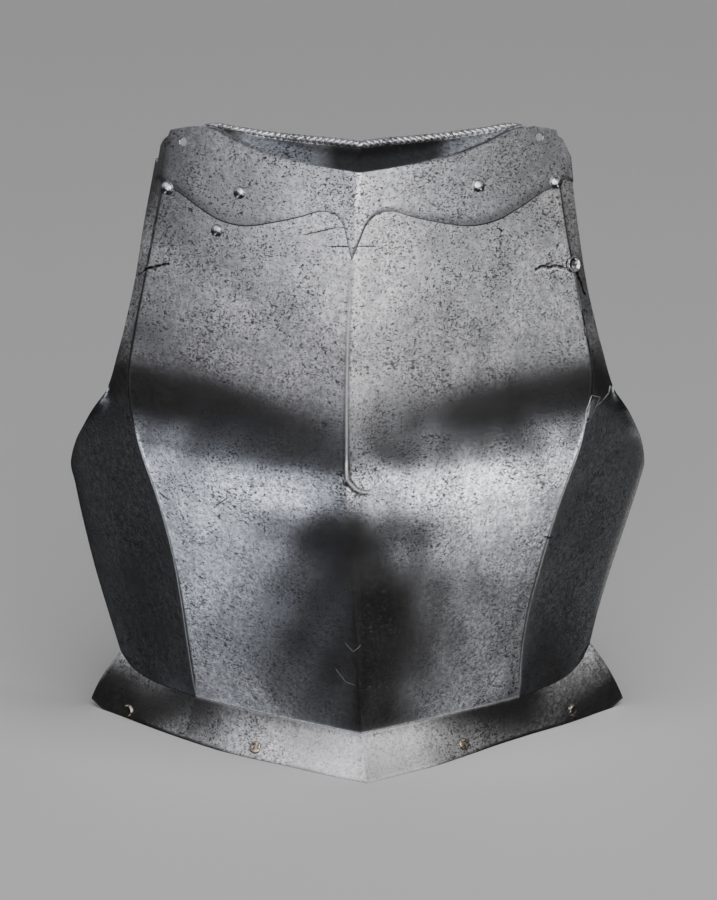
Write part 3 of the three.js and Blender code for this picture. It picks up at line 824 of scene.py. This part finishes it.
# The keel's curl and the holes, as (x, z).
CURL = [(-6.6, 226.0), (-6.0, 216.3), (-1.2, 209.8), (2.7, 207.2), (9.0, 206.0)]
CHEST_HOLE = (88.0, 357.0)
SHOULDER_HOLES = [(-108.0, 408.0), (113.5, 411.0)]


def spread(points, step, low, high):
    """Values from low to high about step apart, with extra values set between them."""
    count = max(1, round((high - low) / step))
    plain = np.linspace(low, high, count + 1)
    near = np.array(points, float)
    keep = [v for v in plain if np.abs(near - v).min() > step * 0.3]
    return np.unique(np.concatenate([keep, near]))


def along_rows(points):
    """Length along each row, from its middle column."""
    gaps = np.linalg.norm(np.diff(points, axis=1), axis=2)
    run = np.concatenate([np.zeros((points.shape[0], 1)), np.cumsum(gaps, axis=1)], axis=1)
    return run - run[:, points.shape[1] // 2][:, None]


def distance_to(x, z, places):
    """How far each point is from a bent line through (x, z) places."""
    nearest = np.full(np.broadcast(x, z).shape, np.inf)
    for (x0, z0), (x1, z1) in zip(places[:-1], places[1:]):
        run, rise = x1 - x0, z1 - z0
        along = np.clip(((x - x0) * run + (z - z0) * rise) / (run * run + rise * rise), 0, 1)
        nearest = np.minimum(nearest, np.hypot(x - x0 - along * run, z - z0 - along * rise))
    return nearest


def plate_relief(across, z, u, off, points, settings):
    """Height of the main plate's relief over its smooth surface, how much painted shade and darkening each
    point takes, and how much painted highlight.

    u is the length from the ridge, and off how much of it lies behind the crease.
    """
    x = points[..., 0]
    beside_arm = ramp(z, 214, 236) * ramp(z, 392, 384)
    below_arm = ramp(z, 236, 216)
    curl = bell(distance_to(x, z, CURL), 0.9) * ramp(x, 10, 6)
    scar = ramp(off, -1, 0.6) * ramp(off, 6.6, 5.0) * ramp(z, 231, 233.5) * ramp(z, 252, 249.5) * (across > 0)

    height = settings.hammer_depth / MM * (waves(points, 62, SEED) + 0.45 * waves(points, 27, SEED + 1))
    height -= settings.groove_depth / MM * bell(off, 0.42) * beside_arm
    height += 0.28 * bell(off, 1.1) * below_arm * ramp(z, 30, 40)  # the crease's crest
    height += 0.16 * bell(u, 0.9) * ramp(z, 218, 226) * ramp(z, 356, 340)  # the keel's crest
    height += 0.25 * scar + 0.34 * curl

    # Painted shade: the groove beside the arm-openings is darkened so that its crest shows no highlight.
    grime = bell(off, 1.15) * beside_arm
    grime += 0.92 * ramp(z, 24, 32) * ramp(x, -16, 4) * ramp(x, 70, 18) * ramp(z, 172, 128)  # darker patch on the lower belly

    worn = 0.55 * bell(off, 0.8) * below_arm * ramp(z, 28, 38)  # painted highlight along the crease below the arm-openings
    worn += 0.5 * bell(u, 0.6) * ramp(z, 216, 224) * ramp(z, 350, 320)  # painted highlight along the keel's crest
    worn += 0.35 * bell(z - WAIST_Z, 1.2) * (np.abs(across) < 1)  # painted highlight along the waist line
    worn += 0.36 * ramp(z, 27, 22) * ramp(x, -78, -20) * ramp(x, 70, 26)  # painted highlight on the middle of the flange
    # Painted highlight on the keel's curl.
    worn += 0.5 * curl
    return height, np.clip(grime, 0, 1), np.clip(worn, 0, 1)


def main_marks():
    """The dark and the light marks of the main plate."""
    # Dark: scratches, black streaks below the plug, and painted shade in the slit and the cracks.
    dark = DARK_MARKS + surface_marks(PLUG_STREAK, 1.1, 2.2) + surface_marks(SLIT, 0.8, 0.4)
    dark += surface_marks(RIGHT_CRACK[2:], 1.35, 0.8) + surface_marks(LEFT_CRACK, 1.35, 0.8)
    # Light: scratches, painted highlights on the scar's rim, on its ridge and on the lower lip of the left
    # crack, and a paler middle of the scar.
    light = LIGHT_MARKS + surface_marks(SCAR, 0.4, 0.9, strength=0.7)
    light += surface_marks(SCAR_MIDDLE, 2.6, 1.5, strength=0.4)
    light += surface_marks(SCAR_RIDGE, 0.6, 0.8, strength=0.7)
    light += surface_marks(LEFT_CRACK, 0.45, 0.8, lower=1.9, strength=0.6)
    return dark, light


def dress(obj, *materials):
    obj.data.materials.clear()
    for material in materials:
        obj.data.materials.append(material)


class CUIRASS_OT_main_plate(bpy.types.Operator):
    """Build the main plate with its ridge, creases, waist flange and relief"""

    bl_idname = "cuirass.main_plate"
    bl_label = "Main Plate"

    def execute(self, context):
        settings = context.scene.cuirass_plate
        step = settings.step / MM
        front = spread(KEEL_SHARES + CREASE_SHARES, step / FRONT_WIDTH, 0, 1)[1:]
        panel = spread(PANEL_SHARES, step / PANEL_WIDTH, 1, 2)[1:]
        columns = both_sides(np.concatenate([front, panel[panel > 1.0]]))
        heights = spread(WAIST_ROWS + CURL_ROWS, step, WAIST_Z, LAP_Z)
        downs = spread(FLANGE_ROWS, step / FLANGE_HEIGHT, 0, 1)[::-1][:-1]
        flange = flange_point(columns, downs[:, None] * flange_end(columns))
        points = np.concatenate([flange, body_point(columns, heights[:, None])])
        z = np.concatenate([WAIST_Z * (1 - downs), heights])[:, None] + 0 * columns
        u = along_rows(points)
        right, left = np.flatnonzero(np.abs(columns) == 1.0)
        crease_u = np.abs(np.where(columns < 0, u[:, [right]], u[:, [left]]))
        height, grime, worn = plate_relief(columns, z, u, np.abs(u) - crease_u, points, settings)
        outer = height.ravel()
        inner = 0.8 * np.clip(outer, -0.3, 0.3) - PLATE  # the hammer's waves reach the inside too
        quads = grid_quads(np.arange(z.size).reshape(z.shape))
        plate = shell("main_plate", points.reshape(-1, 3), quads, outer, inner, floor=0.0)
        # Painted shade with darker patches, and painted highlights, for the material to read.
        add_values(plate, "grime", 0.94 * grime)
        add_values(plate, "worn", worn)
        plate = worn_edges(plate, settings.edge)
        cracks = [blade(RIGHT_CRACK, 1.1), blade(LEFT_CRACK, 1.5), blade(SLIT, 0.9, 1.2)]
        plate = cut(plate, [drill(0.5, front_spot(*CHEST_HOLE)), *cracks])
        outside = steel_material("main_steel", steel_look(patina=0.55), *main_marks(), darkened=True)
        dress(plate, outside, inside_material())
        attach(plate, BODY)
        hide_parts("breast_plate")
        return {"FINISHED"}


# ---- Neck plate ----------------------------------------------------------------------------------
NECK_LIFT = 0.95  # how far the neck plate's outer face stands off the main plate's
NECK_UNDER = 0.12  # and its inner face
NECK_SHARES = [0.004, 0.01, 0.02, 0.03, 0.042, 0.055, 0.07, 0.09, NECK_END]
NECK_WIDTH = 125


def lifted(place, by):
    point, out = place
    return point + out * by, out


class CUIRASS_OT_neck_plate(bpy.types.Operator):
    """Build the riveted neck plate with its cusped lower edge and turned-in neck flange"""

    bl_idname = "cuirass.neck_plate"
    bl_label = "Neck Plate"

    def execute(self, context):
        settings = context.scene.cuirass_plate
        shares = spread(NECK_SHARES, settings.step / MM / NECK_WIDTH, 0, 1)[1:]
        columns = both_sides(np.concatenate([shares, np.linspace(1, 2, 9)[1:]]))
        kept = columns[columns > -NECK_PLATE_END_RIGHT + 0.04]
        columns = np.concatenate([[-NECK_PLATE_END_RIGHT], kept])
        k = np.abs(columns)
        ups = np.concatenate([[0, 0.02, 0.05], np.linspace(0.1, 0.96, 15), [0.985, 1]])[:, None]
        z = cusp_z(k) + ups * (top_z(k) - cusp_z(k))
        ids = np.arange(z.size).reshape(z.shape)
        inner = k <= NECK_END + 1e-9
        backs = np.concatenate([[0.02, 0.06], np.linspace(0.14, 1, 9)])[:, None]
        turned = neck_point(columns[inner], backs)
        more = z.size + np.arange(turned[..., 0].size).reshape(turned.shape[:2])
        quads = np.concatenate([grid_quads(ids), grid_quads(np.vstack([ids[-1][inner], more]))])
        points = np.concatenate([body_point(columns, z).reshape(-1, 3), turned.reshape(-1, 3)])

        lift = np.full(len(points), NECK_LIFT)
        lift[: z.size] *= (0.8 + 0.2 * ramp(ups, 0.0, 0.12) + 0 * z).ravel()  # thinner at the cusped edge
        lift += settings.hammer_depth / MM * waves(points, 55, SEED + 4)
        plate = shell("neck_plate_shell", points, quads, lift, np.full(len(points), NECK_UNDER))
        x = points[:, 0]
        # Painted shade on the neck flange, darkest in its middle and at its ends.
        grime = ramp(x, -28, -12) * ramp(x, 64, 48) + ramp(x, -66, -80) + ramp(x, 88, 99)
        # Painted shadow along the cusped lower edge of the plate.
        grime[: z.size] = (0.95 * ramp(ups, 0.036, 0.0) + 0 * z).ravel()
        add_values(plate, "grime", 0.93 * grime)
        plate = worn_edges(plate, settings.edge * 0.7)
        plate = cut(plate, [drill(0.4, lifted(front_spot(*hole), NECK_LIFT)) for hole in SHOULDER_HOLES])
        look = steel_look(patina=0.8, bright=(0.62, 0.625, 0.645), mid=(0.3, 0.305, 0.32))
        dress(plate, steel_material("neck_steel", look, darkened=True), bpy.data.materials["inside_steel"])
        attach(plate, BODY)
        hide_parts("neck_plate")
        return {"FINISHED"}


# ---- Roped edge ----------------------------------------------------------------------------------
ROPE_SIDES = 30
ROPE_RINGS = 520
ROPE_LIFT = 0.8


def rope_tree():
    """A roll along a curve, with grooves that wind away from its middle on both sides."""
    inputs = {"Geometry": "Geometry", "Radius": 0.0027, "End Share": 0.55, "Strands": 3.0}
    inputs.update({"Pitch": 0.012, "Groove": 0.2, "Material": "Material"})
    group, t, given, result = group_tree("Roped edge", inputs, ["Geometry"], "Geometry")
    path = t.add("GeometryNodeResampleCurve", {"Curve": given["Geometry"], "Count": ROPE_RINGS})
    factor = t.add("GeometryNodeSplineParameter", out="Factor")
    run = t.add("GeometryNodeSplineParameter", out="Length")
    whole = t.add("GeometryNodeCurveLength", {"Curve": path}, "Length")
    from_middle = t.math("ABSOLUTE", t.math("SUBTRACT", run, t.times(whole, 0.5)))
    tilt = t.times(t.math("DIVIDE", from_middle, given["Pitch"]), 2 * math.pi)
    path = t.add("GeometryNodeSetCurveTilt", {"Curve": path, "Tilt": tilt})
    ends = t.math("POWER", t.math("ABSOLUTE", t.line(factor, 2.0, -1.0)), 4.0)
    taper = t.line(ends, t.math("SUBTRACT", given["End Share"], 1.0), 1.0)
    ring = {"Resolution": ROPE_SIDES, "Radius": given["Radius"]}
    ring = t.add("GeometryNodeCurvePrimitiveCircle", ring, "Curve")
    angle = t.times(t.add("GeometryNodeInputIndex"), 2 * math.pi / ROPE_SIDES)
    wave = t.math("COSINE", t.times(angle, given["Strands"]))
    wave = t.math("POWER", t.line(wave, 0.5, 0.5), 3.0)
    squeeze = t.line(t.times(wave, given["Groove"]), -1.0, 1.0)
    place = t.vector("SCALE", t.add("GeometryNodeInputPosition"), squeeze)
    ring = t.add("GeometryNodeSetPosition", {"Geometry": ring, "Position": place})
    roll = {"Curve": path, "Profile Curve": ring, "Scale": taper, "Fill Caps": True}
    mesh = t.add("GeometryNodeCurveToMesh", roll)
    mesh = t.add("GeometryNodeSetShadeSmooth", {"Geometry": mesh})
    mesh = t.add("GeometryNodeRealizeInstances", {"Geometry": mesh})
    mesh = t.add("GeometryNodeSetMaterial", {"Geometry": mesh, "Material": given["Material"]})
    t.feed(result["Geometry"], mesh)
    return group


def run_nodes(obj, group, values, name):
    """Runs a geometry tree on an object and returns the result as a plain mesh."""
    nodes = obj.modifiers.new(group.name, "NODES")
    nodes.node_group = group
    sockets = {item.name: item.identifier for item in group.interface.items_tree if item.in_out == "INPUT"}
    for key, value in values.items():
        nodes[sockets[key]] = value
    return flattened(obj, name)


def path_object(name, points):
    """A smooth open curve through points in the plate's own millimetres."""
    line = bpy.data.curves.new(name, "CURVE")
    line.dimensions = "3D"
    line.twist_mode = "Z_UP"
    spline = line.splines.new("POLY")
    spline.points.add(len(points) - 1)
    for knot, place in zip(spline.points, to_frame(points)):
        knot.co = (*place, 1)
    return linked(name, line)


class CUIRASS_OT_rope(bpy.types.Operator):
    """Build the roped roll along the edge of the neck flange"""

    bl_idname = "cuirass.rope"
    bl_label = "Roped Edge"

    def execute(self, context):
        settings = context.scene.cuirass_rope
        rows = neck_point(np.linspace(-NECK_END, NECK_END, 220), 1.0)
        rows[:, 2] += ROPE_LIFT
        look = steel_look(
            patina=0.85, pits=0.7, bright=(0.56, 0.56, 0.57), mid=(0.24, 0.24, 0.25), roughness=0.24
        )
        values = {
            "Radius": settings.radius,
            "End Share": settings.end_radius / settings.radius,
            "Strands": float(settings.strands),
            "Pitch": settings.pitch,
            "Groove": settings.groove,
            "Material": steel_material("rope_steel", look),
        }
        rope = run_nodes(path_object("rope_path", rows), rope_tree(), values, "roped_edge")
        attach(rope, BODY)
        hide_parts("neck_plate")
        return {"FINISHED"}


# ---- Rivets --------------------------------------------------------------------------------------
SHANK = 1.6  # radius
# x, z, how far the head's seat is off the main plate, and size.
DOMED_RIVETS = [
    (-118.5, 378.5, NECK_LIFT - 0.3, 1.06),
    (124.0, 382.0, NECK_LIFT - 0.3, 1.06),
    (-72.5, 383.0, NECK_LIFT, 1.0),
    (75.0, 387.0, NECK_LIFT, 1.0),
    (-87.0, 358.5, 0.2, 1.0),
]
# across, down, and size.
FLANGE_RIVETS = [(-1.64, 0.8, 1.0), (-0.6, 0.76, 1.06), (0.59, 0.74, 1.06), (1.52, 0.74, 1.0)]
PLUG_HEIGHT = 331.0  # on the left crease
PLUG_RADIUS = 5.3


def rivets_tree():
    """Copies of a head on points, each turned to its point's way out, then dented by the hammer."""
    inputs = {"Geometry": "Geometry", "Head": "Object", "Wobble": 0.0003, "Seed": 0.0, "Material": "Material"}
    group, t, given, result = group_tree("Rivet heads", inputs, ["Geometry"], "Geometry")
    points = t.add("GeometryNodeMeshToPoints", {"Mesh": given["Geometry"]})
    out = t.add("GeometryNodeInputNamedAttribute", {"Name": "out"}, data_type="FLOAT_VECTOR")
    size = t.add("GeometryNodeInputNamedAttribute", {"Name": "size"}, data_type="FLOAT")
    turn = t.add("FunctionNodeAlignRotationToVector", {"Vector": out}, axis="Z")
    head = t.add("GeometryNodeObjectInfo", {"Object": given["Head"]}, "Geometry")
    copies = {"Points": points, "Instance": head, "Rotation": turn, "Scale": size}
    mesh = t.add("GeometryNodeInstanceOnPoints", copies)
    mesh = t.add("GeometryNodeRealizeInstances", {"Geometry": mesh})
    place = t.add("GeometryNodeInputPosition")
    dents = {"Vector": place, "W": given["Seed"], "Scale": 330.0, "Detail": 1.0}
    push = t.add("ShaderNodeTexNoise", dents, "Color", noise_dimensions="4D")
    push = t.vector("SCALE", t.vector("SUBTRACT", push, (0.5, 0.5, 0.5)), t.times(given["Wobble"], 2.0))
    mesh = t.add("GeometryNodeSetPosition", {"Geometry": mesh, "Offset": push})
    mesh = t.add("GeometryNodeSetShadeSmooth", {"Geometry": mesh})
    mesh = t.add("GeometryNodeSetMaterial", {"Geometry": mesh, "Material": given["Material"]})
    t.feed(result["Geometry"], mesh)
    return group


def rivet_heads(name, profile, steps, rows, wobble, seed, material):
    """One head, turned from its profile, at each (place, size) row, all as one mesh."""
    places, sizes = zip(*rows)
    points = mesh_object(f"{name}_points", to_frame([point for point, out in places]))
    ways = points.data.attributes.new("out", "FLOAT_VECTOR", "POINT")
    ways.data.foreach_set("vector", np.concatenate([out for point, out in places]))
    scales = points.data.attributes.new("size", "FLOAT", "POINT")
    scales.data.foreach_set("value", sizes)
    head = lathe("head", profile, steps)
    values = {"Head": head, "Wobble": wobble, "Seed": seed, "Material": material}
    made = run_nodes(points, rivets_tree(), values, name)
    bpy.data.objects.remove(head)
    return made


def head_profile(depth, neck, skirt, top):
    """(radius, height) pairs from the hammered end, that far inside, along the shank and over the head.

    neck is the height at which the shank ends, and skirt the head's lowest edge.
    """
    tail = SHANK * 1.8
    end = [(0, -1.0), (tail * 0.7, -0.9), (tail, -0.3), (tail, 0.1), (SHANK, 0.2)]
    return [*((radius, height - depth) for radius, height in end), (SHANK, neck), skirt, *top]


def dome_profile(radius, rise, seat):
    angles = np.linspace(0, math.pi / 2, 9)[:-1]
    dome = [(radius * math.cos(a), seat + rise * math.sin(a)) for a in angles]
    return head_profile(PLATE, seat - 0.5, (radius * 0.96, seat - 0.45), [*dome, (0, seat + rise)])


def flat_profile(radius, rise):
    top = [(radius, 0.1), (radius, rise * 0.55), (radius * 0.93, rise * 0.88), (radius * 0.75, rise)]
    middle = [(radius * 0.4, rise * 0.93), (0, rise * 0.9)]
    return head_profile(PLATE, -0.4, (radius * 0.96, -0.3), top + middle)


def plug_profile(radius):
    """A dished plug: its rim stands up round a hollow."""
    rim = [(radius, 0.2), (radius * 0.98, 1.0), (radius * 0.86, 1.45), (radius * 0.74, 1.2)]
    dish = [(radius * 0.6, 0.55), (radius * 0.35, 0.4), (0, 0.5)]
    return head_profile(PLATE + 0.4, -0.9, (radius * 0.94, -0.8), rim + dish)


class CUIRASS_OT_domed_rivets(bpy.types.Operator):
    """Build the domed rivets of the neck plate and the chest"""

    bl_idname = "cuirass.domed_rivets"
    bl_label = "Domed Rivets"

    def execute(self, context):
        settings = context.scene.cuirass_rivets
        profile = dome_profile(settings.dome_radius / MM, settings.dome_rise / MM, 0.2)
        rows = [(lifted(front_spot(x, z), lift), size) for x, z, lift, size in DOMED_RIVETS]
        look = steel_look(patina=0.5, pits=0.5, bright=(0.66, 0.66, 0.67), roughness=0.15)
        material = steel_material("rivet_steel", look)
        rivets = rivet_heads("domed_rivets", profile, 32, rows, settings.wobble, 3.0, material)
        corners = "corner_rivet_right", "corner_rivet_left"
        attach(rivets, BODY)
        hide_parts(*corners, "neck_rivet_right", "neck_rivet_left", "chest_rivet")
        return {"FINISHED"}


class CUIRASS_OT_flange_rivets(bpy.types.Operator):
    """Build the flat rivets of the waist flange"""

    bl_idname = "cuirass.flange_rivets"
    bl_label = "Flange Rivets"

    def execute(self, context):
        settings = context.scene.cuirass_rivets
        profile = flat_profile(settings.flat_radius / MM, 1.15)
        rows = [(spot(flange_point, across, down, -1), size) for across, down, size in FLANGE_RIVETS]
        look = steel_look(
            patina=0.9, pits=0.8, bright=(0.62, 0.58, 0.5), mid=(0.42, 0.37, 0.3), dull=(0.2, 0.15, 0.1)
        )
        material = steel_material("flange_rivet_iron", look)
        rivets = rivet_heads("flange_rivets", profile, 26, rows, settings.wobble * 1.5, 11.0, material)
        names = [f"flange_rivet_{side}_{place}" for side in ("right", "left") for place in ("back", "front")]
        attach(rivets, BODY)
        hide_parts(*names)
        return {"FINISHED"}


class CUIRASS_OT_crack_plug(bpy.types.Operator):
    """Build the dished plug at the end of the crack"""

    bl_idname = "cuirass.crack_plug"
    bl_label = "Crack Plug"

    def execute(self, context):
        wobble = context.scene.cuirass_rivets.wobble * 1.6
        rows = [(lifted(crease_spot(1, PLUG_HEIGHT), 0.3), 1.0)]
        material = steel_material("plug_iron", steel_look(patina=0.5, pits=0.7, bright=(0.64, 0.64, 0.64)))
        plug = rivet_heads("crack_plug_head", plug_profile(PLUG_RADIUS), 36, rows, wobble, 5.0, material)
        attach(plug, BODY)
        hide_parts("crack_plug")
        return {"FINISHED"}


# ---- Stage ---------------------------------------------------------------------------------------
# The soft lights that the steel mirrors, as the object sees them. Windows: azimuth, elevation and roll, half
# width and half height in degrees, softness of the edge, colour, strength.
WINDOWS = {
    "front": (-6, 37.5, -9, 56, 44, 0.27, (0.99, 0.98, 1.03), 1.85),
    "front middle": (8, 21, 0, 34, 28, 0.3, (1.04, 1.02, 0.98), 2.5),
    "right front": (58, 18, 0, 18, 13, 0.4, (1.0, 1.0, 1.0), 0.6),
    "high behind": (180, 66, 0, 70, 15, 0.4, (0.93, 0.98, 1.1), 0.45),
    "left side": (-93, 25, -10, 13, 20, 0.65, (1.0, 1.0, 1.0), 0.55),
    "right side": (81, 25, -20, 18, 26, 0.6, (1.0, 0.98, 0.97), 0.42),
    "waist right": (88, -48, 0, 5, 6, 0.7, (0.98, 0.99, 1.03), 0.25),
    "waist left": (-92, -52, 0, 4.5, 4, 0.7, (0.96, 0.99, 1.08), 0.4),
    "low right": (165, -47, 0, 15, 40, 0.4, (1.0, 0.98, 0.96), 0.26),
    "left behind": (-132, -30, 0, 20, 22, 0.8, (0.95, 0.98, 1.05), 0.05),
    "right behind": (134, -32, 0, 18, 18, 0.8, (0.95, 0.98, 1.05), 0.09),
    "back": (180, 30, 0, 55, 22, 0.5, (1.0, 1.0, 1.0), 0.7),
}
# Arcs: azimuth and elevation of the ring's axis, the ring's angle from it, the strip's width, the azimuth of
# its middle and its length in degrees, colour, strength.
ARCS = {
    "right arc": ((-76, -36), 98, 2.9, 56, 20, (0.98, 0.99, 1.03), 6.0),
    "left arc": ((68, -43), 90, 4.0, -67, 22, (0.95, 1.0, 1.12), 2.8),
}
DARK_ROOM = (0.006, 0.006, 0.005)
# Metres and watts; the lens in millimetres.
LAMP_PLACE = (0.3, -1.0, 2.6)
LAMP_AIM = (0, 0, 0.1)
LAMP_SIZE = 1.8
LAMP_POWER = 46.0
CAMERA_AIM = (0.0006, 0, 0.2063)
CAMERA_LENS = 220.48
FLOOR_HALF = 9.0


def way(azimuth, elevation):
    """A direction: azimuth 0 faces the viewer (-Y) and 90 is +X; degrees."""
    a, e = math.radians(azimuth), math.radians(elevation)
    return Vector((math.sin(a) * math.cos(e), -math.cos(a) * math.cos(e), math.sin(e)))


def window_group():
    """A soft oval window of light in one direction."""
    inputs = {"Direction": "Vector", "Axis": (0, 0, 1), "Right": (1, 0, 0), "Up": (0, 1, 0)}
    inputs.update({"Half Width": 50.0, "Half Height": 30.0, "Softness": 0.4})
    group, t, given, result = group_tree("Window light", inputs, ["Level"])
    ahead, right, up = (
        t.vector("DOT_PRODUCT", given["Direction"], given[key]) for key in ("Axis", "Right", "Up")
    )
    u = t.math("DEGREES", t.math("ARCTAN2", right, ahead))
    v = t.math("DEGREES", t.math("ARCSINE", up))
    u = t.math("POWER", t.math("DIVIDE", u, given["Half Width"]), 2.0)
    v = t.math("POWER", t.math("DIVIDE", v, given["Half Height"]), 2.0)
    outer = t.math("ADD", 1.0, given["Softness"])
    inner = t.math("SUBTRACT", 1.0, given["Softness"])
    t.feed(result["Level"], t.smooth(t.math("SQRT", t.math("ADD", u, v)), outer, inner))
    return group


def arc_group():
    """A bent strip of light: part of a ring round an axis."""
    inputs = {"Direction": "Vector", "Axis": (0, 0, -1), "Ring Angle": 55.0, "Width": 6.0}
    inputs.update({"Azimuth": 0.0, "Length": 25.0})
    group, t, given, result = group_tree("Arc light", inputs, ["Level"])
    part = t.add("ShaderNodeSeparateXYZ", {"Vector": given["Direction"]}, "X").node.outputs
    azimuth = t.math("DEGREES", t.math("ARCTAN2", part["X"], t.times(part["Y"], -1.0)))
    cosine = t.vector("DOT_PRODUCT", given["Direction"], given["Axis"])
    angle = t.math("DEGREES", t.math("ARCCOSINE", cosine))
    total = 0.0
    for value, middle, width in ((angle, "Ring Angle", "Width"), (azimuth, "Azimuth", "Length")):
        off = t.math("DIVIDE", t.math("SUBTRACT", value, given[middle]), given[width])
        total = t.math("ADD", total, t.math("POWER", off, 2.0))
    t.feed(result["Level"], t.math("EXPONENT", t.times(total, -1.0)))
    return group


def build_world(strength):
    """The room that the steel mirrors. It lights nothing else, so that the floor takes its own lamp."""
    world = bpy.data.worlds.new("studio")
    world.use_nodes = True
    bpy.context.scene.world = world
    t = Tree(world.node_tree)
    ahead = t.add("ShaderNodeTexCoord", out="Generated")
    total = t.vector("ADD", DARK_ROOM)

    def with_light(name, level, color, light):
        level.node.label = name
        return t.vector("ADD", total, t.vector("SCALE", tuple(v * light for v in color), level))

    for name, (azimuth, elevation, roll, width, height, soft, color, light) in WINDOWS.items():
        axis = way(azimuth, elevation)
        right = way(azimuth + 90, 0)
        right.rotate(Quaternion(axis, math.radians(roll)))
        ways = {"Direction": ahead, "Axis": axis, "Right": right, "Up": axis.cross(right)}
        level = t.effect(window_group, **ways, Half_Width=width, Half_Height=height, Softness=soft)[0]
        total = with_light(name, level, color, light)
    for name, (axis, ring, width, azimuth, run, color, light) in ARCS.items():
        ways = {"Direction": ahead, "Axis": way(*axis), "Azimuth": azimuth}
        level = t.effect(arc_group, **ways, Ring_Angle=ring, Width=width, Length=run)[0]
        total = with_light(name, level, color, light)
    diffuse = t.add("ShaderNodeLightPath", out="Is Diffuse Ray")
    shader = world.node_tree.nodes["Background"].inputs
    t.feed(shader["Color"], t.mix(diffuse, total, DARK_ROOM))
    t.feed(shader["Strength"], strength)


def build_floor(color):
    corners = [(-FLOOR_HALF, -FLOOR_HALF, 0), (FLOOR_HALF, -FLOOR_HALF, 0)]
    corners += [(FLOOR_HALF, FLOOR_HALF, 0), (-FLOOR_HALF, FLOOR_HALF, 0)]
    floor = mesh_object("floor", corners, [(0, 1, 2, 3)], smooth=False)
    material, t, position, shader = new_material("floor_paper")
    fibre = t.noise(position, 0.004, 4.0)
    t.feed(shader["Base Color"], t.mix(fibre, color, tuple(v * 0.97 for v in color)))
    t.feed(shader["Roughness"], 0.9)
    dress(floor, material)
    floor.visible_glossy = False


def aimed(obj, place, target):
    """Sets a lamp or camera down, facing its target."""
    obj.location = place
    obj.rotation_euler = (Vector(target) - Vector(place)).to_track_quat("-Z", "Y").to_euler()
    return obj


def build_lamp(power):
    """A round area light that shows in no reflection."""
    lamp = bpy.data.lights.new("key", "AREA")
    lamp.shape = "DISK"
    lamp.size = LAMP_SIZE
    lamp.energy = power
    aimed(linked("key", lamp), LAMP_PLACE, LAMP_AIM).visible_glossy = False


def build_camera(settings):
    cam = bpy.data.cameras.new("camera")
    cam.sensor_width = 36.0
    cam.lens = CAMERA_LENS
    cam.dof.use_dof = False
    cam.clip_end = 50.0
    back = Vector((0, -math.cos(settings.elevation), math.sin(settings.elevation)))
    place = Vector(CAMERA_AIM) + back * settings.distance
    bpy.context.scene.camera = aimed(linked("camera", cam), place, CAMERA_AIM)


class CUIRASS_OT_stage(bpy.types.Operator):
    """Build the pale floor, the soft studio light and the camera"""

    bl_idname = "cuirass.stage"
    bl_label = "Stage"

    def execute(self, context):
        settings = context.scene.cuirass_stage
        build_floor(tuple(settings.floor_color))
        build_world(settings.light)
        build_lamp(LAMP_POWER * settings.light)
        build_camera(settings)
        return {"FINISHED"}


# ---- Panel and registration ----------------------------------------------------------------------
BUILD_ORDER = (
    CUIRASS_OT_stage,
    CUIRASS_OT_main_plate,
    CUIRASS_OT_neck_plate,
    CUIRASS_OT_rope,
    CUIRASS_OT_domed_rivets,
    CUIRASS_OT_flange_rivets,
    CUIRASS_OT_crack_plug,
)
SETTINGS = {
    "cuirass_plate": PlateSettings,
    "cuirass_rope": RopeSettings,
    "cuirass_rivets": RivetSettings,
    "cuirass_steel": SteelSettings,
    "cuirass_stage": StageSettings,
}


class CUIRASS_PT_panel(bpy.types.Panel):
    """Lists the pieces and their sizes"""

    bl_idname = "CUIRASS_PT_panel"
    bl_label = "Cuirass Breastplate"
    bl_space_type = "VIEW_3D"
    bl_region_type = "UI"
    bl_category = "Cuirass"

    def draw(self, context):
        for operator in BUILD_ORDER:
            self.layout.operator(operator.bl_idname)
        for name, kind in SETTINGS.items():
            box = self.layout.box()
            for field in kind.__annotations__:
                box.prop(getattr(context.scene, name), field)


CLASSES = (*SETTINGS.values(), *BUILD_ORDER, CUIRASS_PT_panel)


def register():
    for cls in CLASSES:
        bpy.utils.register_class(cls)
    for name, kind in SETTINGS.items():
        setattr(bpy.types.Scene, name, PointerProperty(type=kind))


def unregister():
    for name in SETTINGS:
        delattr(bpy.types.Scene, name)
    for cls in reversed(CLASSES):
        bpy.utils.unregister_class(cls)


def main():
    register()
    for operator in BUILD_ORDER:
        group, name = operator.bl_idname.split(".")
        getattr(getattr(bpy.ops, group), name)()


if __name__ == "__main__":
    main()
